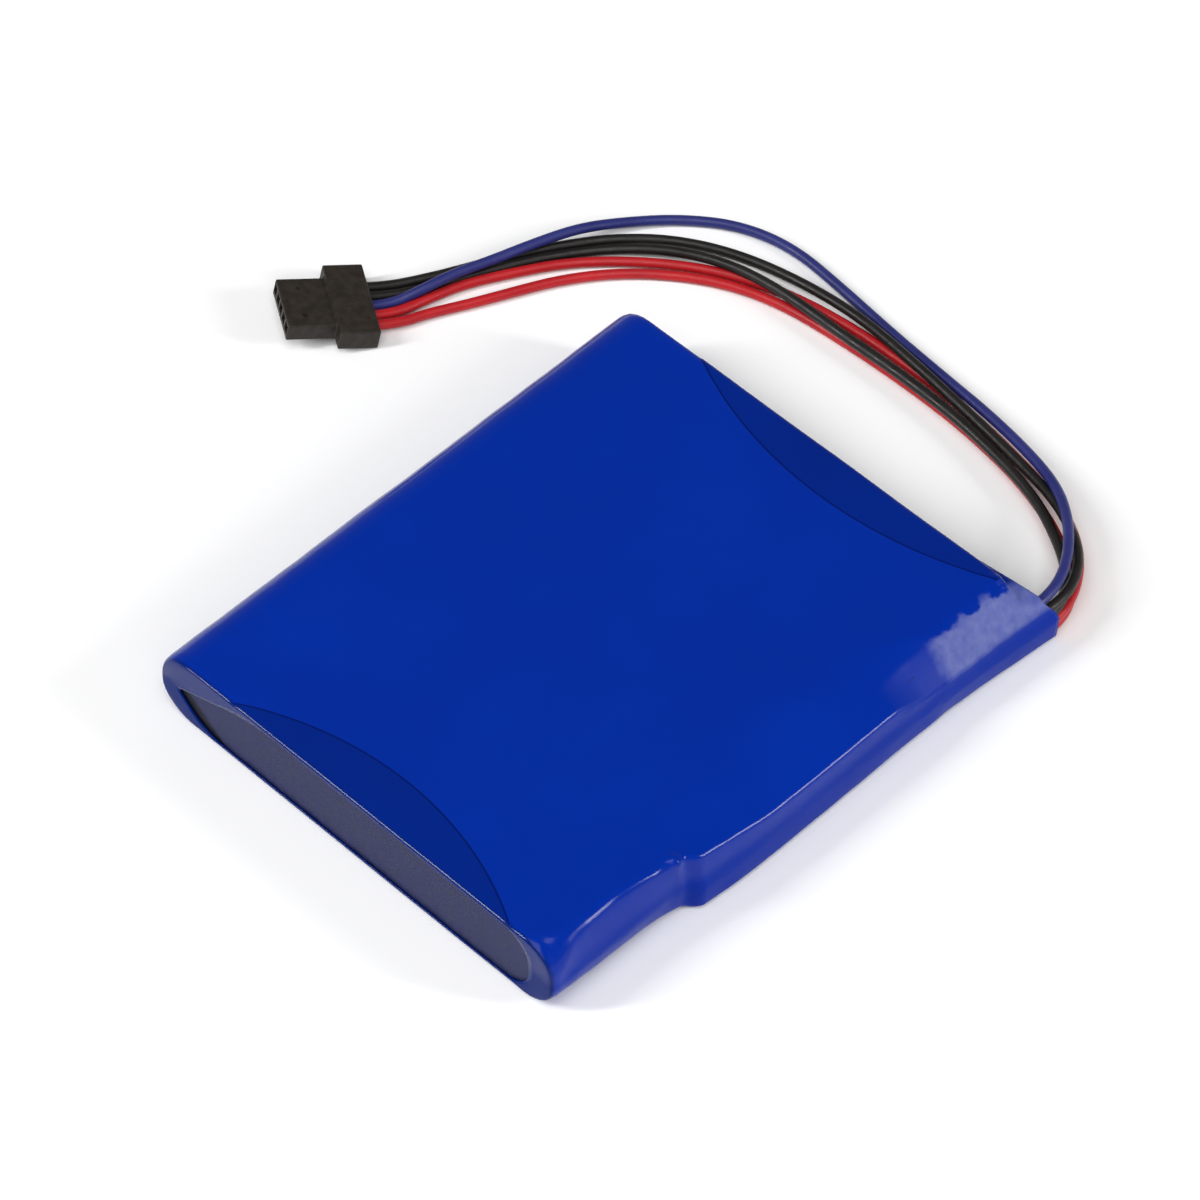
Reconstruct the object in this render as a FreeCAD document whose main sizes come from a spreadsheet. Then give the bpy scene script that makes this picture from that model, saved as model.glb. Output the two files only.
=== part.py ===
import FreeCAD, Part
import math
import os

import Sketcher
from FreeCAD import Placement, Rotation, Vector

# A flat lithium polymer battery pack with a five-wire lead, in millimetres.
# X runs across the pack, towards the side that holds the protection board.
# Y runs along the pack, towards the end where the wires come out.
# Z is up, and the origin is at the middle of the flat underside of the cell.

SIZES = {
    # outer sleeve of shrunk film
    "sleeve_length": 68.6,
    "sleeve_width": 58.0,
    "sleeve_thickness": 9.6,
    "side_radius": 4.4,
    "end_edge_radius": 1.0,
    "film": 0.2,
    "opening_width": 51.6,
    "opening_height": 7.8,
    # bulge of the sleeve over the board and the wires
    "bulge_root": 24.0,
    "bulge_crest": 27.0,
    "bulge_height": 7.2,
    "bulge_reach": 30.8,
    "bulge_reach_near": 30.2,
    "bulge_reach_far": 31.6,
    "bulge_start": -19.0,
    "bulge_shoulder": -13.8,
    "bulge_full": -6.0,
    "bulge_widens": 22.0,
    # snout of the sleeve round the wires
    "snout_end": 38.2,
    "snout_root_low": 29.3,
    "snout_tip_low": 30.0,
    "snout_tip_reach": 32.3,
    "snout_tip_height": 6.9,
    # layers between the sleeve and the electrodes, as distances from the sleeve's outside
    "wrap_inset": 0.25,
    "wrap_film": 0.1,
    "pouch_inset": 0.4,
    "pouch_laminate": 0.15,
    "roll_inset": 0.65,
    # arcs that end the inner wrap
    "near_arc_radius": 40.5,
    "near_arc_across": 2.5,
    "near_arc_crown": -28.6,
    "far_arc_radius": 50.8,
    "far_arc_across": 6.0,
    "far_arc_crown": 28.8,
    # pouch cell
    "pouch_near": -33.4,
    "pouch_far": 31.4,
    "roll_near": -32.8,
    "roll_far": 30.6,
    "roll_core_width": 46.0,
    "roll_core_gap": 0.3,
    "seal_flange_width": 50.0,
    "seal_flange_far": 33.1,
    "seal_flange_thickness": 0.6,
    "tab_width": 6.0,
    "tab_thickness": 0.16,
    "tab_across": 12.0,
    "tab_far": 33.3,
    "tab_seal_width": 8.0,
    "tab_seal_thickness": 0.36,
    "tape_end_gap": 3.0,
    "tape_edge_gap": 0.05,
    "tape_lift": 0.01,
    "tape_thickness": 0.06,
    # end insulators
    "insulator_width": 54.0,
    "insulator_height": 8.0,
    "near_insulator_face": -34.0,
    "near_insulator_thickness": 0.5,
    "far_insulator_face": 33.55,
    "far_insulator_thickness": 0.4,
    # nickel strips from the tabs to the board
    "strip_thickness": 0.1,
    "strip_height": 2.0,
    "strip_side": 28.98,
    "strip_near": 11.0,
    "positive_strip_low": 4.6,
    "negative_strip_low": 2.4,
    # side insulator and protection board
    "side_insulator_face": 28.8,
    "side_insulator_thickness": 0.15,
    "side_insulator_near": -13.4,
    "side_insulator_far": 33.0,
    "side_insulator_low": 1.0,
    "side_insulator_height": 6.6,
    "board_face": 29.1,
    "board_thickness": 0.8,
    "board_near": -13.0,
    "board_far": 15.0,
    "board_low": 0.6,
    "board_height": 6.2,
    # wires
    "wire_diameter": 1.2,
    "wire_start_gap": 0.05,
    "wire_column": 29.7,
    "wire_lowest": 1.0,
    "wire_step": 1.25,
    "wire_exit_run": 2.2,
    "wire_board_run": 5.6,
    "solder_length": 1.5,
    "solder_height": 0.9,
    "solder_thickness": 0.5,
    # lead connector, in its own frame
    "connector_x": -53.35,
    "connector_y": 19.1,
    "connector_yaw": 58.0,
    "connector_pitch": 12.0,
    "flange_width": 10.6,
    "flange_depth": 4.4,
    "flange_height": 2.6,
    "nose_width": 7.4,
    "nose_depth": 5.8,
    "nose_height": 2.2,
    "contact_pitch": 1.45,
    "contact_level": 1.25,
    "chamber_width": 1.05,
    "chamber_height": 1.2,
    "chamber_back": 1.2,
    "wire_hole_diameter": 1.3,
    "dimple_radius": 0.3,
    "dimple_depth": 0.15,
    "dimple_from_front": 2.2,
    "dimple_left": 2.1,
    "dimple_right": -2.0,
    "contact_width": 0.9,
    "contact_height": 1.0,
    "contact_front_gap": 0.5,
    "contact_box_length": 4.4,
    "contact_socket": 0.5,
    "barrel_diameter": 0.9,
    "wire_entry": 1.0,
}

doc = FreeCAD.newDocument("lipo_battery_pack")
sheet = doc.addObject("Spreadsheet::Sheet", "Sizes")
for row, (alias, number) in enumerate(SIZES.items(), start=1):
    sheet.set(f"A{row}", alias)
    sheet.set(f"B{row}", str(number))
    sheet.setAlias(f"B{row}", alias)
doc.recompute()

sub_parts = []


def size(alias):
    return float(getattr(sheet, alias))


def keep(item, label):
    """Name a finished object and list it as a sub-part of the pack."""
    item.Label = label
    sub_parts.append(item)
    return item


expression_reader = doc.addObject("App::FeaturePython", "expression_reader")


def value(expression):
    """The number that an expression of sheet sizes has."""
    return float(expression_reader.evalExpression(expression))


# ---------------------------------------------------------------- sketches and solids

def origin_plane(body, role):
    return next(item for item in body.Origin.OriginFeatures if item.Role == role)


def sketch_on(body, name, role, offset="0"):
    """A sketch on one of the body's own origin planes, moved along the plane's normal."""
    sketch = body.newObject("Sketcher::SketchObject", name)
    sketch.AttachmentSupport = [(origin_plane(body, role), "")]
    sketch.MapMode = "FlatFace"
    sketch.setExpression("AttachmentOffset.Base.z", offset)
    return sketch


def sketch_across(body, name, y):
    """A sketch square to the pack's length. Its plane's normal points along -Y."""
    return sketch_on(body, name, "XZ_Plane", f"-({y})")


def bind(sketch, name, constraint, expression):
    index = sketch.addConstraint(constraint)
    sketch.renameConstraint(index, name)
    sketch.setExpression(f"Constraints.{name}", expression)


def draw_polygon(sketch, corners):
    """Closed straight outline whose corners are pairs of expressions."""
    points = [Vector(value(across), value(up), 0) for across, up in corners]
    count = len(points)
    for index in range(count):
        sketch.addGeometry(Part.LineSegment(points[index], points[(index + 1) % count]), False)
    for index in range(count):
        sketch.addConstraint(Sketcher.Constraint("Coincident", index, 2, (index + 1) % count, 1))
    for index, (across, up) in enumerate(corners):
        point = points[index]
        bind(sketch, f"across_{index}", Sketcher.Constraint("DistanceX", index, 1, point.x), across)
        bind(sketch, f"up_{index}", Sketcher.Constraint("DistanceY", index, 1, point.y), up)


def draw_rectangle(sketch, low_across, low_up, width, height):
    right = f"({low_across}) + ({width})"
    top = f"({low_up}) + ({height})"
    draw_polygon(sketch, [(low_across, low_up), (right, low_up), (right, top), (low_across, top)])


def draw_rounded_rectangle(sketch, width, height, radius, centre_up, centre_across="0"):
    """Four straight sides joined by four equal corner arcs."""
    half_width = value(width) / 2
    half_height = value(height) / 2
    corner = value(radius)
    middle = Vector(value(centre_across), value(centre_up), 0)
    flat = half_width - corner
    upright = half_height - corner
    turn = math.pi / 2
    sides = [
        (Vector(-flat, -half_height, 0), Vector(flat, -half_height, 0), Vector(flat, -upright, 0)),
        (Vector(half_width, -upright, 0), Vector(half_width, upright, 0), Vector(flat, upright, 0)),
        (Vector(flat, half_height, 0), Vector(-flat, half_height, 0), Vector(-flat, upright, 0)),
        (Vector(-half_width, upright, 0), Vector(-half_width, -upright, 0), Vector(-flat, -upright, 0)),
    ]
    for index, (start, end, centre) in enumerate(sides):
        sketch.addGeometry(Part.LineSegment(middle + start, middle + end), False)
        circle = Part.Circle(middle + centre, Vector(0, 0, 1), corner)
        sketch.addGeometry(Part.ArcOfCircle(circle, (index - 1) * turn, index * turn), False)
    for index in range(4):
        line = 2 * index
        arc = line + 1
        sketch.addConstraint(Sketcher.Constraint("Tangent", line, 2, arc, 1))
        sketch.addConstraint(Sketcher.Constraint("Tangent", arc, 2, (line + 2) % 8, 1))
    for arc in (3, 5, 7):
        sketch.addConstraint(Sketcher.Constraint("Equal", 1, arc))
    sketch.addConstraint(Sketcher.Constraint("Horizontal", 0))
    sketch.addConstraint(Sketcher.Constraint("Vertical", 2))
    bind(sketch, "radius", Sketcher.Constraint("Radius", 1, corner), radius)
    right = middle.x + half_width
    low = middle.y - half_height
    bind(sketch, "right", Sketcher.Constraint("DistanceX", 2, 1, right), f"({centre_across}) + ({width}) / 2")
    bind(sketch, "low", Sketcher.Constraint("DistanceY", 0, 1, low), f"({centre_up}) - ({height}) / 2")
    bind(sketch, "width", Sketcher.Constraint("DistanceX", 6, 1, 2, 2, 2 * half_width), width)
    bind(sketch, "height", Sketcher.Constraint("DistanceY", 0, 1, 4, 2, 2 * half_height), height)


def pad(body, sketch, length, name, reverse=False):
    feature = body.newObject("PartDesign::Pad", name)
    feature.Profile = sketch
    feature.setExpression("Length", length)
    feature.Reversed = reverse
    sketch.Visibility = False
    return feature


def rounded_bar(name, inset, near, far):
    """A bar along Y with the pack's rounded section, a distance inside the sleeve's outside."""
    body = doc.addObject("PartDesign::Body", name)
    sketch = sketch_across(body, f"{name}_section", near)
    draw_rounded_rectangle(
        sketch,
        f"Sizes.sleeve_width - 2 * ({inset})",
        f"Sizes.sleeve_thickness - 2 * ({inset})",
        f"Sizes.side_radius - ({inset})",
        "Sizes.sleeve_thickness / 2",
    )
    pad(body, sketch, f"({far}) - ({near})", f"{name}_length", reverse=True)
    return body


def box(name, low_x, low_y, low_z, length_x, length_y, length_z):
    item = doc.addObject("Part::Box", name)
    item.setExpression("Placement.Base.x", low_x)
    item.setExpression("Placement.Base.y", low_y)
    item.setExpression("Placement.Base.z", low_z)
    item.setExpression("Length", length_x)
    item.setExpression("Width", length_y)
    item.setExpression("Height", length_z)
    return item


def cut(name, base, tool):
    item = doc.addObject("Part::Cut", name)
    item.Base = base
    item.Tool = tool
    return item


def common(name, base, tool):
    item = doc.addObject("Part::Common", name)
    item.Base = base
    item.Tool = tool
    return item


def join(name, pieces):
    item = doc.addObject("Part::MultiFuse", name)
    item.Shapes = pieces
    return item


def group(name, pieces):
    item = doc.addObject("Part::Compound", name)
    item.Links = pieces
    return item


# ---------------------------------------------------------------- outer sleeve

def bulge_section(body, name, y, inset, reach, crest, height):
    """Section of the bulge: upright wall, then a slope up to the sleeve's flat top."""
    slope = f"(Sizes.sleeve_thickness - ({height})) / (({reach}) - ({crest}))"
    wall = f"({reach}) - ({inset})"
    wall_top = f"({height}) - ({inset}) * (sqrt(1 + ({slope})^2) - ({slope}))"
    sketch = sketch_across(body, name, y)
    draw_polygon(sketch, [
        ("Sizes.bulge_root", inset),
        (wall, inset),
        (wall, wall_top),
        (crest, f"Sizes.sleeve_thickness - ({inset})"),
        ("Sizes.bulge_root", f"Sizes.sleeve_thickness - ({inset})"),
    ])
    return sketch


def loft(body, name, sections):
    feature = body.newObject("PartDesign::AdditiveLoft", name)
    feature.Profile = sections[0]
    feature.Sections = sections[1:]
    feature.Ruled = True
    return feature


def snout_section(body, name, y, inset, low, reach, height):
    sketch = sketch_across(body, name, y)
    draw_rectangle(
        sketch,
        f"({low}) + ({inset})",
        inset,
        f"({reach}) - ({low}) - 2 * ({inset})",
        f"({height}) - 2 * ({inset})",
    )
    return sketch


def round_ends(body, base, radius):
    """Round the two end faces' edges."""
    doc.recompute()
    ends = [
        f"Face{number}"
        for number, face in enumerate(base.Shape.Faces, start=1)
        if abs(abs(face.normalAt(0, 0).y) - 1) < 1e-6
    ]
    feature = body.newObject("PartDesign::Fillet", f"{body.Name}_ends")
    feature.Base = (base, ends)
    feature.setExpression("Radius", radius)


def sleeve_form(name, inset, tip_overrun):
    """The sleeve's outside, or with the film's thickness as inset, the space inside it."""
    end = f"(Sizes.sleeve_length / 2 - ({inset}))"
    body = rounded_bar(name, inset, f"-{end}", end)
    round_ends(body, body.Tip, f"Sizes.end_edge_radius - ({inset})")
    stations = [
        ("Sizes.bulge_start", "Sizes.bulge_root + 0.6", "Sizes.bulge_root + 0.3"),
        ("Sizes.bulge_shoulder", "Sizes.bulge_reach_near", "Sizes.bulge_crest"),
        ("Sizes.bulge_full", "Sizes.bulge_reach", "Sizes.bulge_crest"),
        ("Sizes.bulge_widens", "Sizes.bulge_reach", "Sizes.bulge_crest"),
        (end, "Sizes.bulge_reach_far", "Sizes.bulge_crest"),
    ]
    sections = [
        bulge_section(body, f"{name}_bulge_{index}", y, inset, reach, crest, "Sizes.bulge_height")
        for index, (y, reach, crest) in enumerate(stations)
    ]
    loft(body, f"{name}_bulge", sections)
    root = snout_section(body, f"{name}_snout_root", "Sizes.sleeve_length / 2 - 1", inset,
                         "Sizes.snout_root_low", "Sizes.bulge_reach_far - 0.05", "Sizes.bulge_height")
    tip = snout_section(body, f"{name}_snout_tip", f"Sizes.snout_end + {tip_overrun}", inset,
                        "Sizes.snout_tip_low", "Sizes.snout_tip_reach", "Sizes.snout_tip_height")
    loft(body, f"{name}_snout", [root, tip])
    return body


def make_outer_sleeve():
    """Thin shrunk film, folded over both ends round a long opening, with a snout for the wires."""
    outside = sleeve_form("sleeve_outside", "0", 0)
    inside = sleeve_form("sleeve_inside", "Sizes.film", 0.1)
    openings = doc.addObject("PartDesign::Body", "end_openings")
    sketch = sketch_across(openings, "opening_section", "-Sizes.sleeve_length")
    draw_rounded_rectangle(
        sketch,
        "Sizes.opening_width",
        "Sizes.opening_height",
        "Sizes.opening_height / 2 - 0.1",
        "Sizes.sleeve_thickness / 2",
    )
    pad(openings, sketch, "2 * Sizes.sleeve_length", "opening_length", reverse=True)
    closed = cut("closed_sleeve", outside, inside)
    keep(cut("outer_sleeve", closed, openings), "outer_sleeve")


# ---------------------------------------------------------------- cell

def arc_cutter(name, radius, across, crown, towards_near):
    """A tall cylinder whose side bites an arc out of one end of the inner wrap."""
    cylinder = doc.addObject("Part::Cylinder", name)
    cylinder.setExpression("Radius", radius)
    cylinder.setExpression("Height", "2 * Sizes.sleeve_thickness")
    cylinder.setExpression("Placement.Base.x", across)
    sign = "-" if towards_near else "+"
    cylinder.setExpression("Placement.Base.y", f"({crown}) {sign} ({radius})")
    cylinder.setExpression("Placement.Base.z", "-Sizes.sleeve_thickness / 2")
    return cylinder


def make_inner_wrap():
    """Film round the cell under the sleeve, with both of its ends cut to a shallow arc."""
    outside = rounded_bar("wrap_outside", "Sizes.wrap_inset", "Sizes.pouch_near", "Sizes.pouch_far")
    inside = rounded_bar("wrap_inside", "Sizes.wrap_inset + Sizes.wrap_film",
                         "Sizes.pouch_near - 1", "Sizes.pouch_far + 1")
    tube = cut("wrap_tube", outside, inside)
    near_arc = arc_cutter("near_arc", "Sizes.near_arc_radius", "Sizes.near_arc_across",
                          "Sizes.near_arc_crown", True)
    far_arc = arc_cutter("far_arc", "Sizes.far_arc_radius", "Sizes.far_arc_across",
                         "Sizes.far_arc_crown", False)
    keep(cut("inner_wrap", cut("wrap_near_cut", tube, near_arc), far_arc), "inner_wrap")


def make_tabs():
    """Two flat tabs that come out of the sealed far end, each with its sealing film."""
    films = []
    for name, side in (("positive_tab", "+1"), ("negative_tab", "-1")):
        centre = f"{side} * Sizes.tab_across"
        middle = "Sizes.sleeve_thickness / 2"
        tab = box(name, f"{centre} - Sizes.tab_width / 2", "Sizes.roll_far",
                  f"{middle} - Sizes.tab_thickness / 2", "Sizes.tab_width",
                  "Sizes.tab_far - Sizes.roll_far", "Sizes.tab_thickness")
        keep(tab, name)
        sheath = box(f"{name}_sheath", f"{centre} - Sizes.tab_seal_width / 2",
                     "Sizes.pouch_far - Sizes.pouch_laminate",
                     f"{middle} - Sizes.tab_seal_thickness / 2", "Sizes.tab_seal_width",
                     "Sizes.seal_flange_far - Sizes.pouch_far + Sizes.pouch_laminate",
                     "Sizes.tab_seal_thickness")
        films.append(cut(f"{name}_seal", sheath, tab))
    keep(group("tab_sealing_films", films), "tab_sealing_films")
    return [doc.getObject("positive_tab_sheath"), doc.getObject("negative_tab_sheath")]


def make_pouch(tab_sheaths):
    """Two formed halves of aluminium laminate, sealed to each other at half height."""
    outside = rounded_bar("pouch_outside", "Sizes.pouch_inset", "Sizes.pouch_near", "Sizes.pouch_far")
    inside = rounded_bar("pouch_inside", "Sizes.pouch_inset + Sizes.pouch_laminate",
                         "Sizes.pouch_near + Sizes.pouch_laminate",
                         "Sizes.pouch_far - Sizes.pouch_laminate")
    shell = cut("pouch_shell", outside, inside)
    flange = box("seal_flange", "-Sizes.seal_flange_width / 2",
                 "Sizes.pouch_far - Sizes.pouch_laminate",
                 "(Sizes.sleeve_thickness - Sizes.seal_flange_thickness) / 2",
                 "Sizes.seal_flange_width",
                 "Sizes.seal_flange_far - Sizes.pouch_far + Sizes.pouch_laminate",
                 "Sizes.seal_flange_thickness")
    whole = cut("pouch_with_flange", join("pouch_blank", [shell, flange]), join("tab_slots", tab_sheaths))
    for name, low in (("lower_pouch_half", "0"), ("upper_pouch_half", "Sizes.sleeve_thickness / 2")):
        half = box(f"{name}_space", "-Sizes.sleeve_width", "-Sizes.sleeve_length", low,
                   "2 * Sizes.sleeve_width", "2 * Sizes.sleeve_length", "Sizes.sleeve_thickness / 2")
        keep(common(name, whole, half), name)


def make_electrode_roll():
    """Flat-wound electrodes and separator, with the narrow gap that the winding blade left."""
    roll = rounded_bar("electrode_roll_outside", "Sizes.roll_inset", "Sizes.roll_near", "Sizes.roll_far")
    core = box("winding_gap", "-Sizes.roll_core_width / 2", "Sizes.roll_near - 1",
               "Sizes.sleeve_thickness / 2 - Sizes.roll_core_gap - Sizes.tab_thickness",
               "Sizes.roll_core_width", "Sizes.roll_far - Sizes.roll_near + 2", "Sizes.roll_core_gap")
    keep(cut("electrode_roll", roll, core), "electrode_roll")


def end_insulator(name, face, thickness):
    body = doc.addObject("PartDesign::Body", name)
    sketch = sketch_across(body, f"{name}_outline", face)
    draw_rounded_rectangle(
        sketch,
        "Sizes.insulator_width",
        "Sizes.insulator_height",
        "Sizes.insulator_height / 2 - 0.2",
        "Sizes.sleeve_thickness / 2",
    )
    pad(body, sketch, thickness, f"{name}_sheet", reverse=True)
    keep(body, name)


def make_tab_tape():
    """Strip of tape that lies over the seal and keeps the tabs off the pouch."""
    keep(box("tab_insulation_tape", "-Sizes.seal_flange_width / 2 + Sizes.tape_end_gap",
             "Sizes.pouch_far + Sizes.tape_edge_gap",
             "(Sizes.sleeve_thickness + Sizes.seal_flange_thickness) / 2 + Sizes.tape_lift",
             "Sizes.seal_flange_width - 2 * Sizes.tape_end_gap",
             "Sizes.seal_flange_far - Sizes.pouch_far - 2 * Sizes.tape_edge_gap",
             "Sizes.tape_thickness"),
         "tab_insulation_tape")


# ---------------------------------------------------------------- strips and board

def make_strip(name, low_z, tab_side, riser_low, riser_height):
    """Nickel strip: a leg along the far end from its tab, then a leg along the side to the board."""
    tab_edge = f"{tab_side} * Sizes.tab_across - Sizes.tab_width / 2"
    end_leg = box(f"{name}_end_leg", tab_edge, "Sizes.tab_far", low_z,
                  f"Sizes.strip_side + Sizes.strip_thickness - ({tab_edge})",
                  "Sizes.strip_thickness", "Sizes.strip_height")
    side_leg = box(f"{name}_side_leg", "Sizes.strip_side", "Sizes.strip_near", low_z,
                   "Sizes.strip_thickness", "Sizes.tab_far - Sizes.strip_near + Sizes.strip_thickness",
                   "Sizes.strip_height")
    riser = box(f"{name}_riser", tab_edge, "Sizes.tab_far", riser_low,
                "Sizes.tab_width", "Sizes.strip_thickness", riser_height)
    keep(join(name, [end_leg, side_leg, riser]), name)


def make_board():
    """Side insulator, then the protection board that stands on edge against it."""
    keep(box("side_insulator", "Sizes.side_insulator_face", "Sizes.side_insulator_near",
             "Sizes.side_insulator_low", "Sizes.side_insulator_thickness",
             "Sizes.side_insulator_far - Sizes.side_insulator_near", "Sizes.side_insulator_height"),
         "side_insulator")
    keep(box("protection_board", "Sizes.board_face", "Sizes.board_near", "Sizes.board_low",
             "Sizes.board_thickness", "Sizes.board_far - Sizes.board_near", "Sizes.board_height"),
         "protection_board")


# Packages of the board's components as (length along Y, height, thickness).
IC_PACKAGE = (2.9, 1.6, 0.5)
FUSE_PACKAGE = (4.5, 2.2, 0.5)
THERMISTOR_PACKAGE = (1.6, 0.8, 0.45)
MOSFET_PACKAGE = (3.0, 4.4, 0.5)
RESISTOR_PACKAGE = (1.0, 0.5, 0.35)
CAPACITOR_PACKAGE = (1.6, 0.8, 0.5)


def board_part(name, package, from_near, level):
    """A component on the board's outer face, with its middle from_near the board's near edge."""
    length, height, thickness = package
    return box(name, "Sizes.board_face + Sizes.board_thickness",
               f"Sizes.board_near + {from_near - length / 2}", f"{level - height / 2}",
               f"{thickness}", f"{length}", f"{height}")


def make_board_parts():
    middle_level = 3.7
    ic_from_near = 12.4
    fuse_from_near = 23.6
    keep(board_part("protection_ic", IC_PACKAGE, ic_from_near, middle_level), "protection_ic")
    keep(board_part("resettable_fuse", FUSE_PACKAGE, fuse_from_near, middle_level + 1.5), "resettable_fuse")
    keep(board_part("thermistor", THERMISTOR_PACKAGE, fuse_from_near, middle_level - 1.5), "thermistor")
    mosfets = [board_part(f"mosfet_{number}", MOSFET_PACKAGE, 16.4 + 3.3 * number, middle_level)
               for number in range(2)]
    keep(group("power_mosfets", mosfets), "power_mosfets")
    resistors = [board_part(f"resistor_{number}", RESISTOR_PACKAGE, 9.4, 2.0 + 1.6 * number)
                 for number in range(3)]
    keep(group("chip_resistors", resistors), "chip_resistors")
    capacitors = [board_part(f"capacitor_{number}", CAPACITOR_PACKAGE, ic_from_near, level)
                  for number, level in enumerate((middle_level - 2, middle_level + 2))]
    keep(group("chip_capacitors", capacitors), "chip_capacitors")


def make_solder_joints():
    """Five joints at the far edge of the board, one at the level of each wire."""
    joints = [
        box(f"solder_{number}", "Sizes.board_face + Sizes.board_thickness",
            "Sizes.board_far + Sizes.wire_start_gap - Sizes.solder_length",
            f"Sizes.wire_lowest + {number} * Sizes.wire_step - Sizes.solder_height / 2",
            "Sizes.solder_thickness", "Sizes.solder_length", "Sizes.solder_height")
        for number in range(5)
    ]
    keep(group("solder_joints", joints), "solder_joints")


# ---------------------------------------------------------------- lead connector

def connector_frame():
    """Placement of the connector: +X out of its back to the wires, with the nose tipped up."""
    yaw = Rotation(Vector(0, 0, 1), size("connector_yaw"))
    pitch = Rotation(Vector(0, 1, 0), size("connector_pitch"))
    return Placement(Vector(size("connector_x"), size("connector_y"), 0), yaw * pitch)


def contact_row(number):
    """Sideways place of a contact in the connector, from 0 on the far side to 4 on the near side."""
    return (2 - number) * size("contact_pitch")


def make_connector_housing():
    """Moulded housing with a wide back, a narrower nose and one chamber for each contact."""
    body = doc.addObject("PartDesign::Body", "housing_blank")
    back = sketch_on(body, "back_outline", "XY_Plane")
    draw_rectangle(back, "-Sizes.flange_depth", "-Sizes.flange_width / 2",
                   "Sizes.flange_depth", "Sizes.flange_width")
    pad(body, back, "Sizes.flange_height", "back_block")
    nose = sketch_on(body, "nose_outline", "XY_Plane")
    draw_rectangle(nose, "-Sizes.flange_depth - Sizes.nose_depth", "-Sizes.nose_width / 2",
                   "Sizes.nose_depth + 0.5", "Sizes.nose_width")
    pad(body, nose, "Sizes.nose_height", "nose_block")
    doc.recompute()
    solid_volume = body.Shape.Volume
    tools = []
    depth = "(Sizes.flange_depth + Sizes.nose_depth)"
    for number in range(5):
        across = f"{2 - number} * Sizes.contact_pitch"
        tools.append(box(f"chamber_{number}", f"-{depth} - 0.5", f"{across} - Sizes.chamber_width / 2",
                         "Sizes.contact_level - Sizes.chamber_height / 2",
                         f"{depth} + 0.5 - Sizes.chamber_back", "Sizes.chamber_width",
                         "Sizes.chamber_height"))
        hole = doc.addObject("Part::Cylinder", f"wire_hole_{number}")
        hole.setExpression("Radius", "Sizes.wire_hole_diameter / 2")
        hole.setExpression("Height", "Sizes.chamber_back + 1")
        hole.Placement = Placement(
            Vector(-size("chamber_back") - 0.5, contact_row(number), size("contact_level")),
            Rotation(Vector(0, 1, 0), 90))
        tools.append(hole)
    for side in ("left", "right"):
        dimple = doc.addObject("Part::Cylinder", f"dimple_{side}")
        dimple.setExpression("Radius", "Sizes.dimple_radius")
        dimple.setExpression("Height", "2 * Sizes.dimple_depth")
        dimple.setExpression("Placement.Base.x", f"-{depth} + Sizes.dimple_from_front")
        dimple.setExpression("Placement.Base.y", f"Sizes.dimple_{side}")
        dimple.setExpression("Placement.Base.z", "Sizes.nose_height - Sizes.dimple_depth")
        tools.append(dimple)
    housing = cut("connector_housing", body, join("housing_spaces", tools))
    doc.recompute()
    if not housing.Shape.Volume < solid_volume:
        raise RuntimeError("the chambers cut nothing out of the connector housing")
    housing.Placement = connector_frame()
    keep(housing, "connector_housing")


def make_contact(number):
    """One crimp contact: a box that takes the pin, and a barrel crimped on the wire."""
    back = size("wire_entry")
    front = size("flange_depth") + size("nose_depth") - size("contact_front_gap")
    width = size("contact_width")
    height = size("contact_height")
    length = size("contact_box_length")
    socket = size("contact_socket")
    level = size("contact_level")
    across = contact_row(number)
    shell = Part.makeBox(length, width, height, Vector(-front, across - width / 2, level - height / 2))
    opening = Part.makeBox(length - 0.6, socket, socket,
                           Vector(-front - 0.1, across - socket / 2, level - socket / 2))
    barrel = Part.makeCylinder(size("barrel_diameter") / 2, front - length - back + 0.1,
                               Vector(-front + length - 0.1, across, level), Vector(1, 0, 0))
    contact = doc.addObject("Part::Feature", f"crimp_contact_{number + 1}")
    contact.Shape = shell.cut(opening).fuse(barrel).removeSplitter()
    contact.Placement = connector_frame()
    keep(contact, f"crimp_contact_{number + 1}")


# ---------------------------------------------------------------- wires

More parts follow.
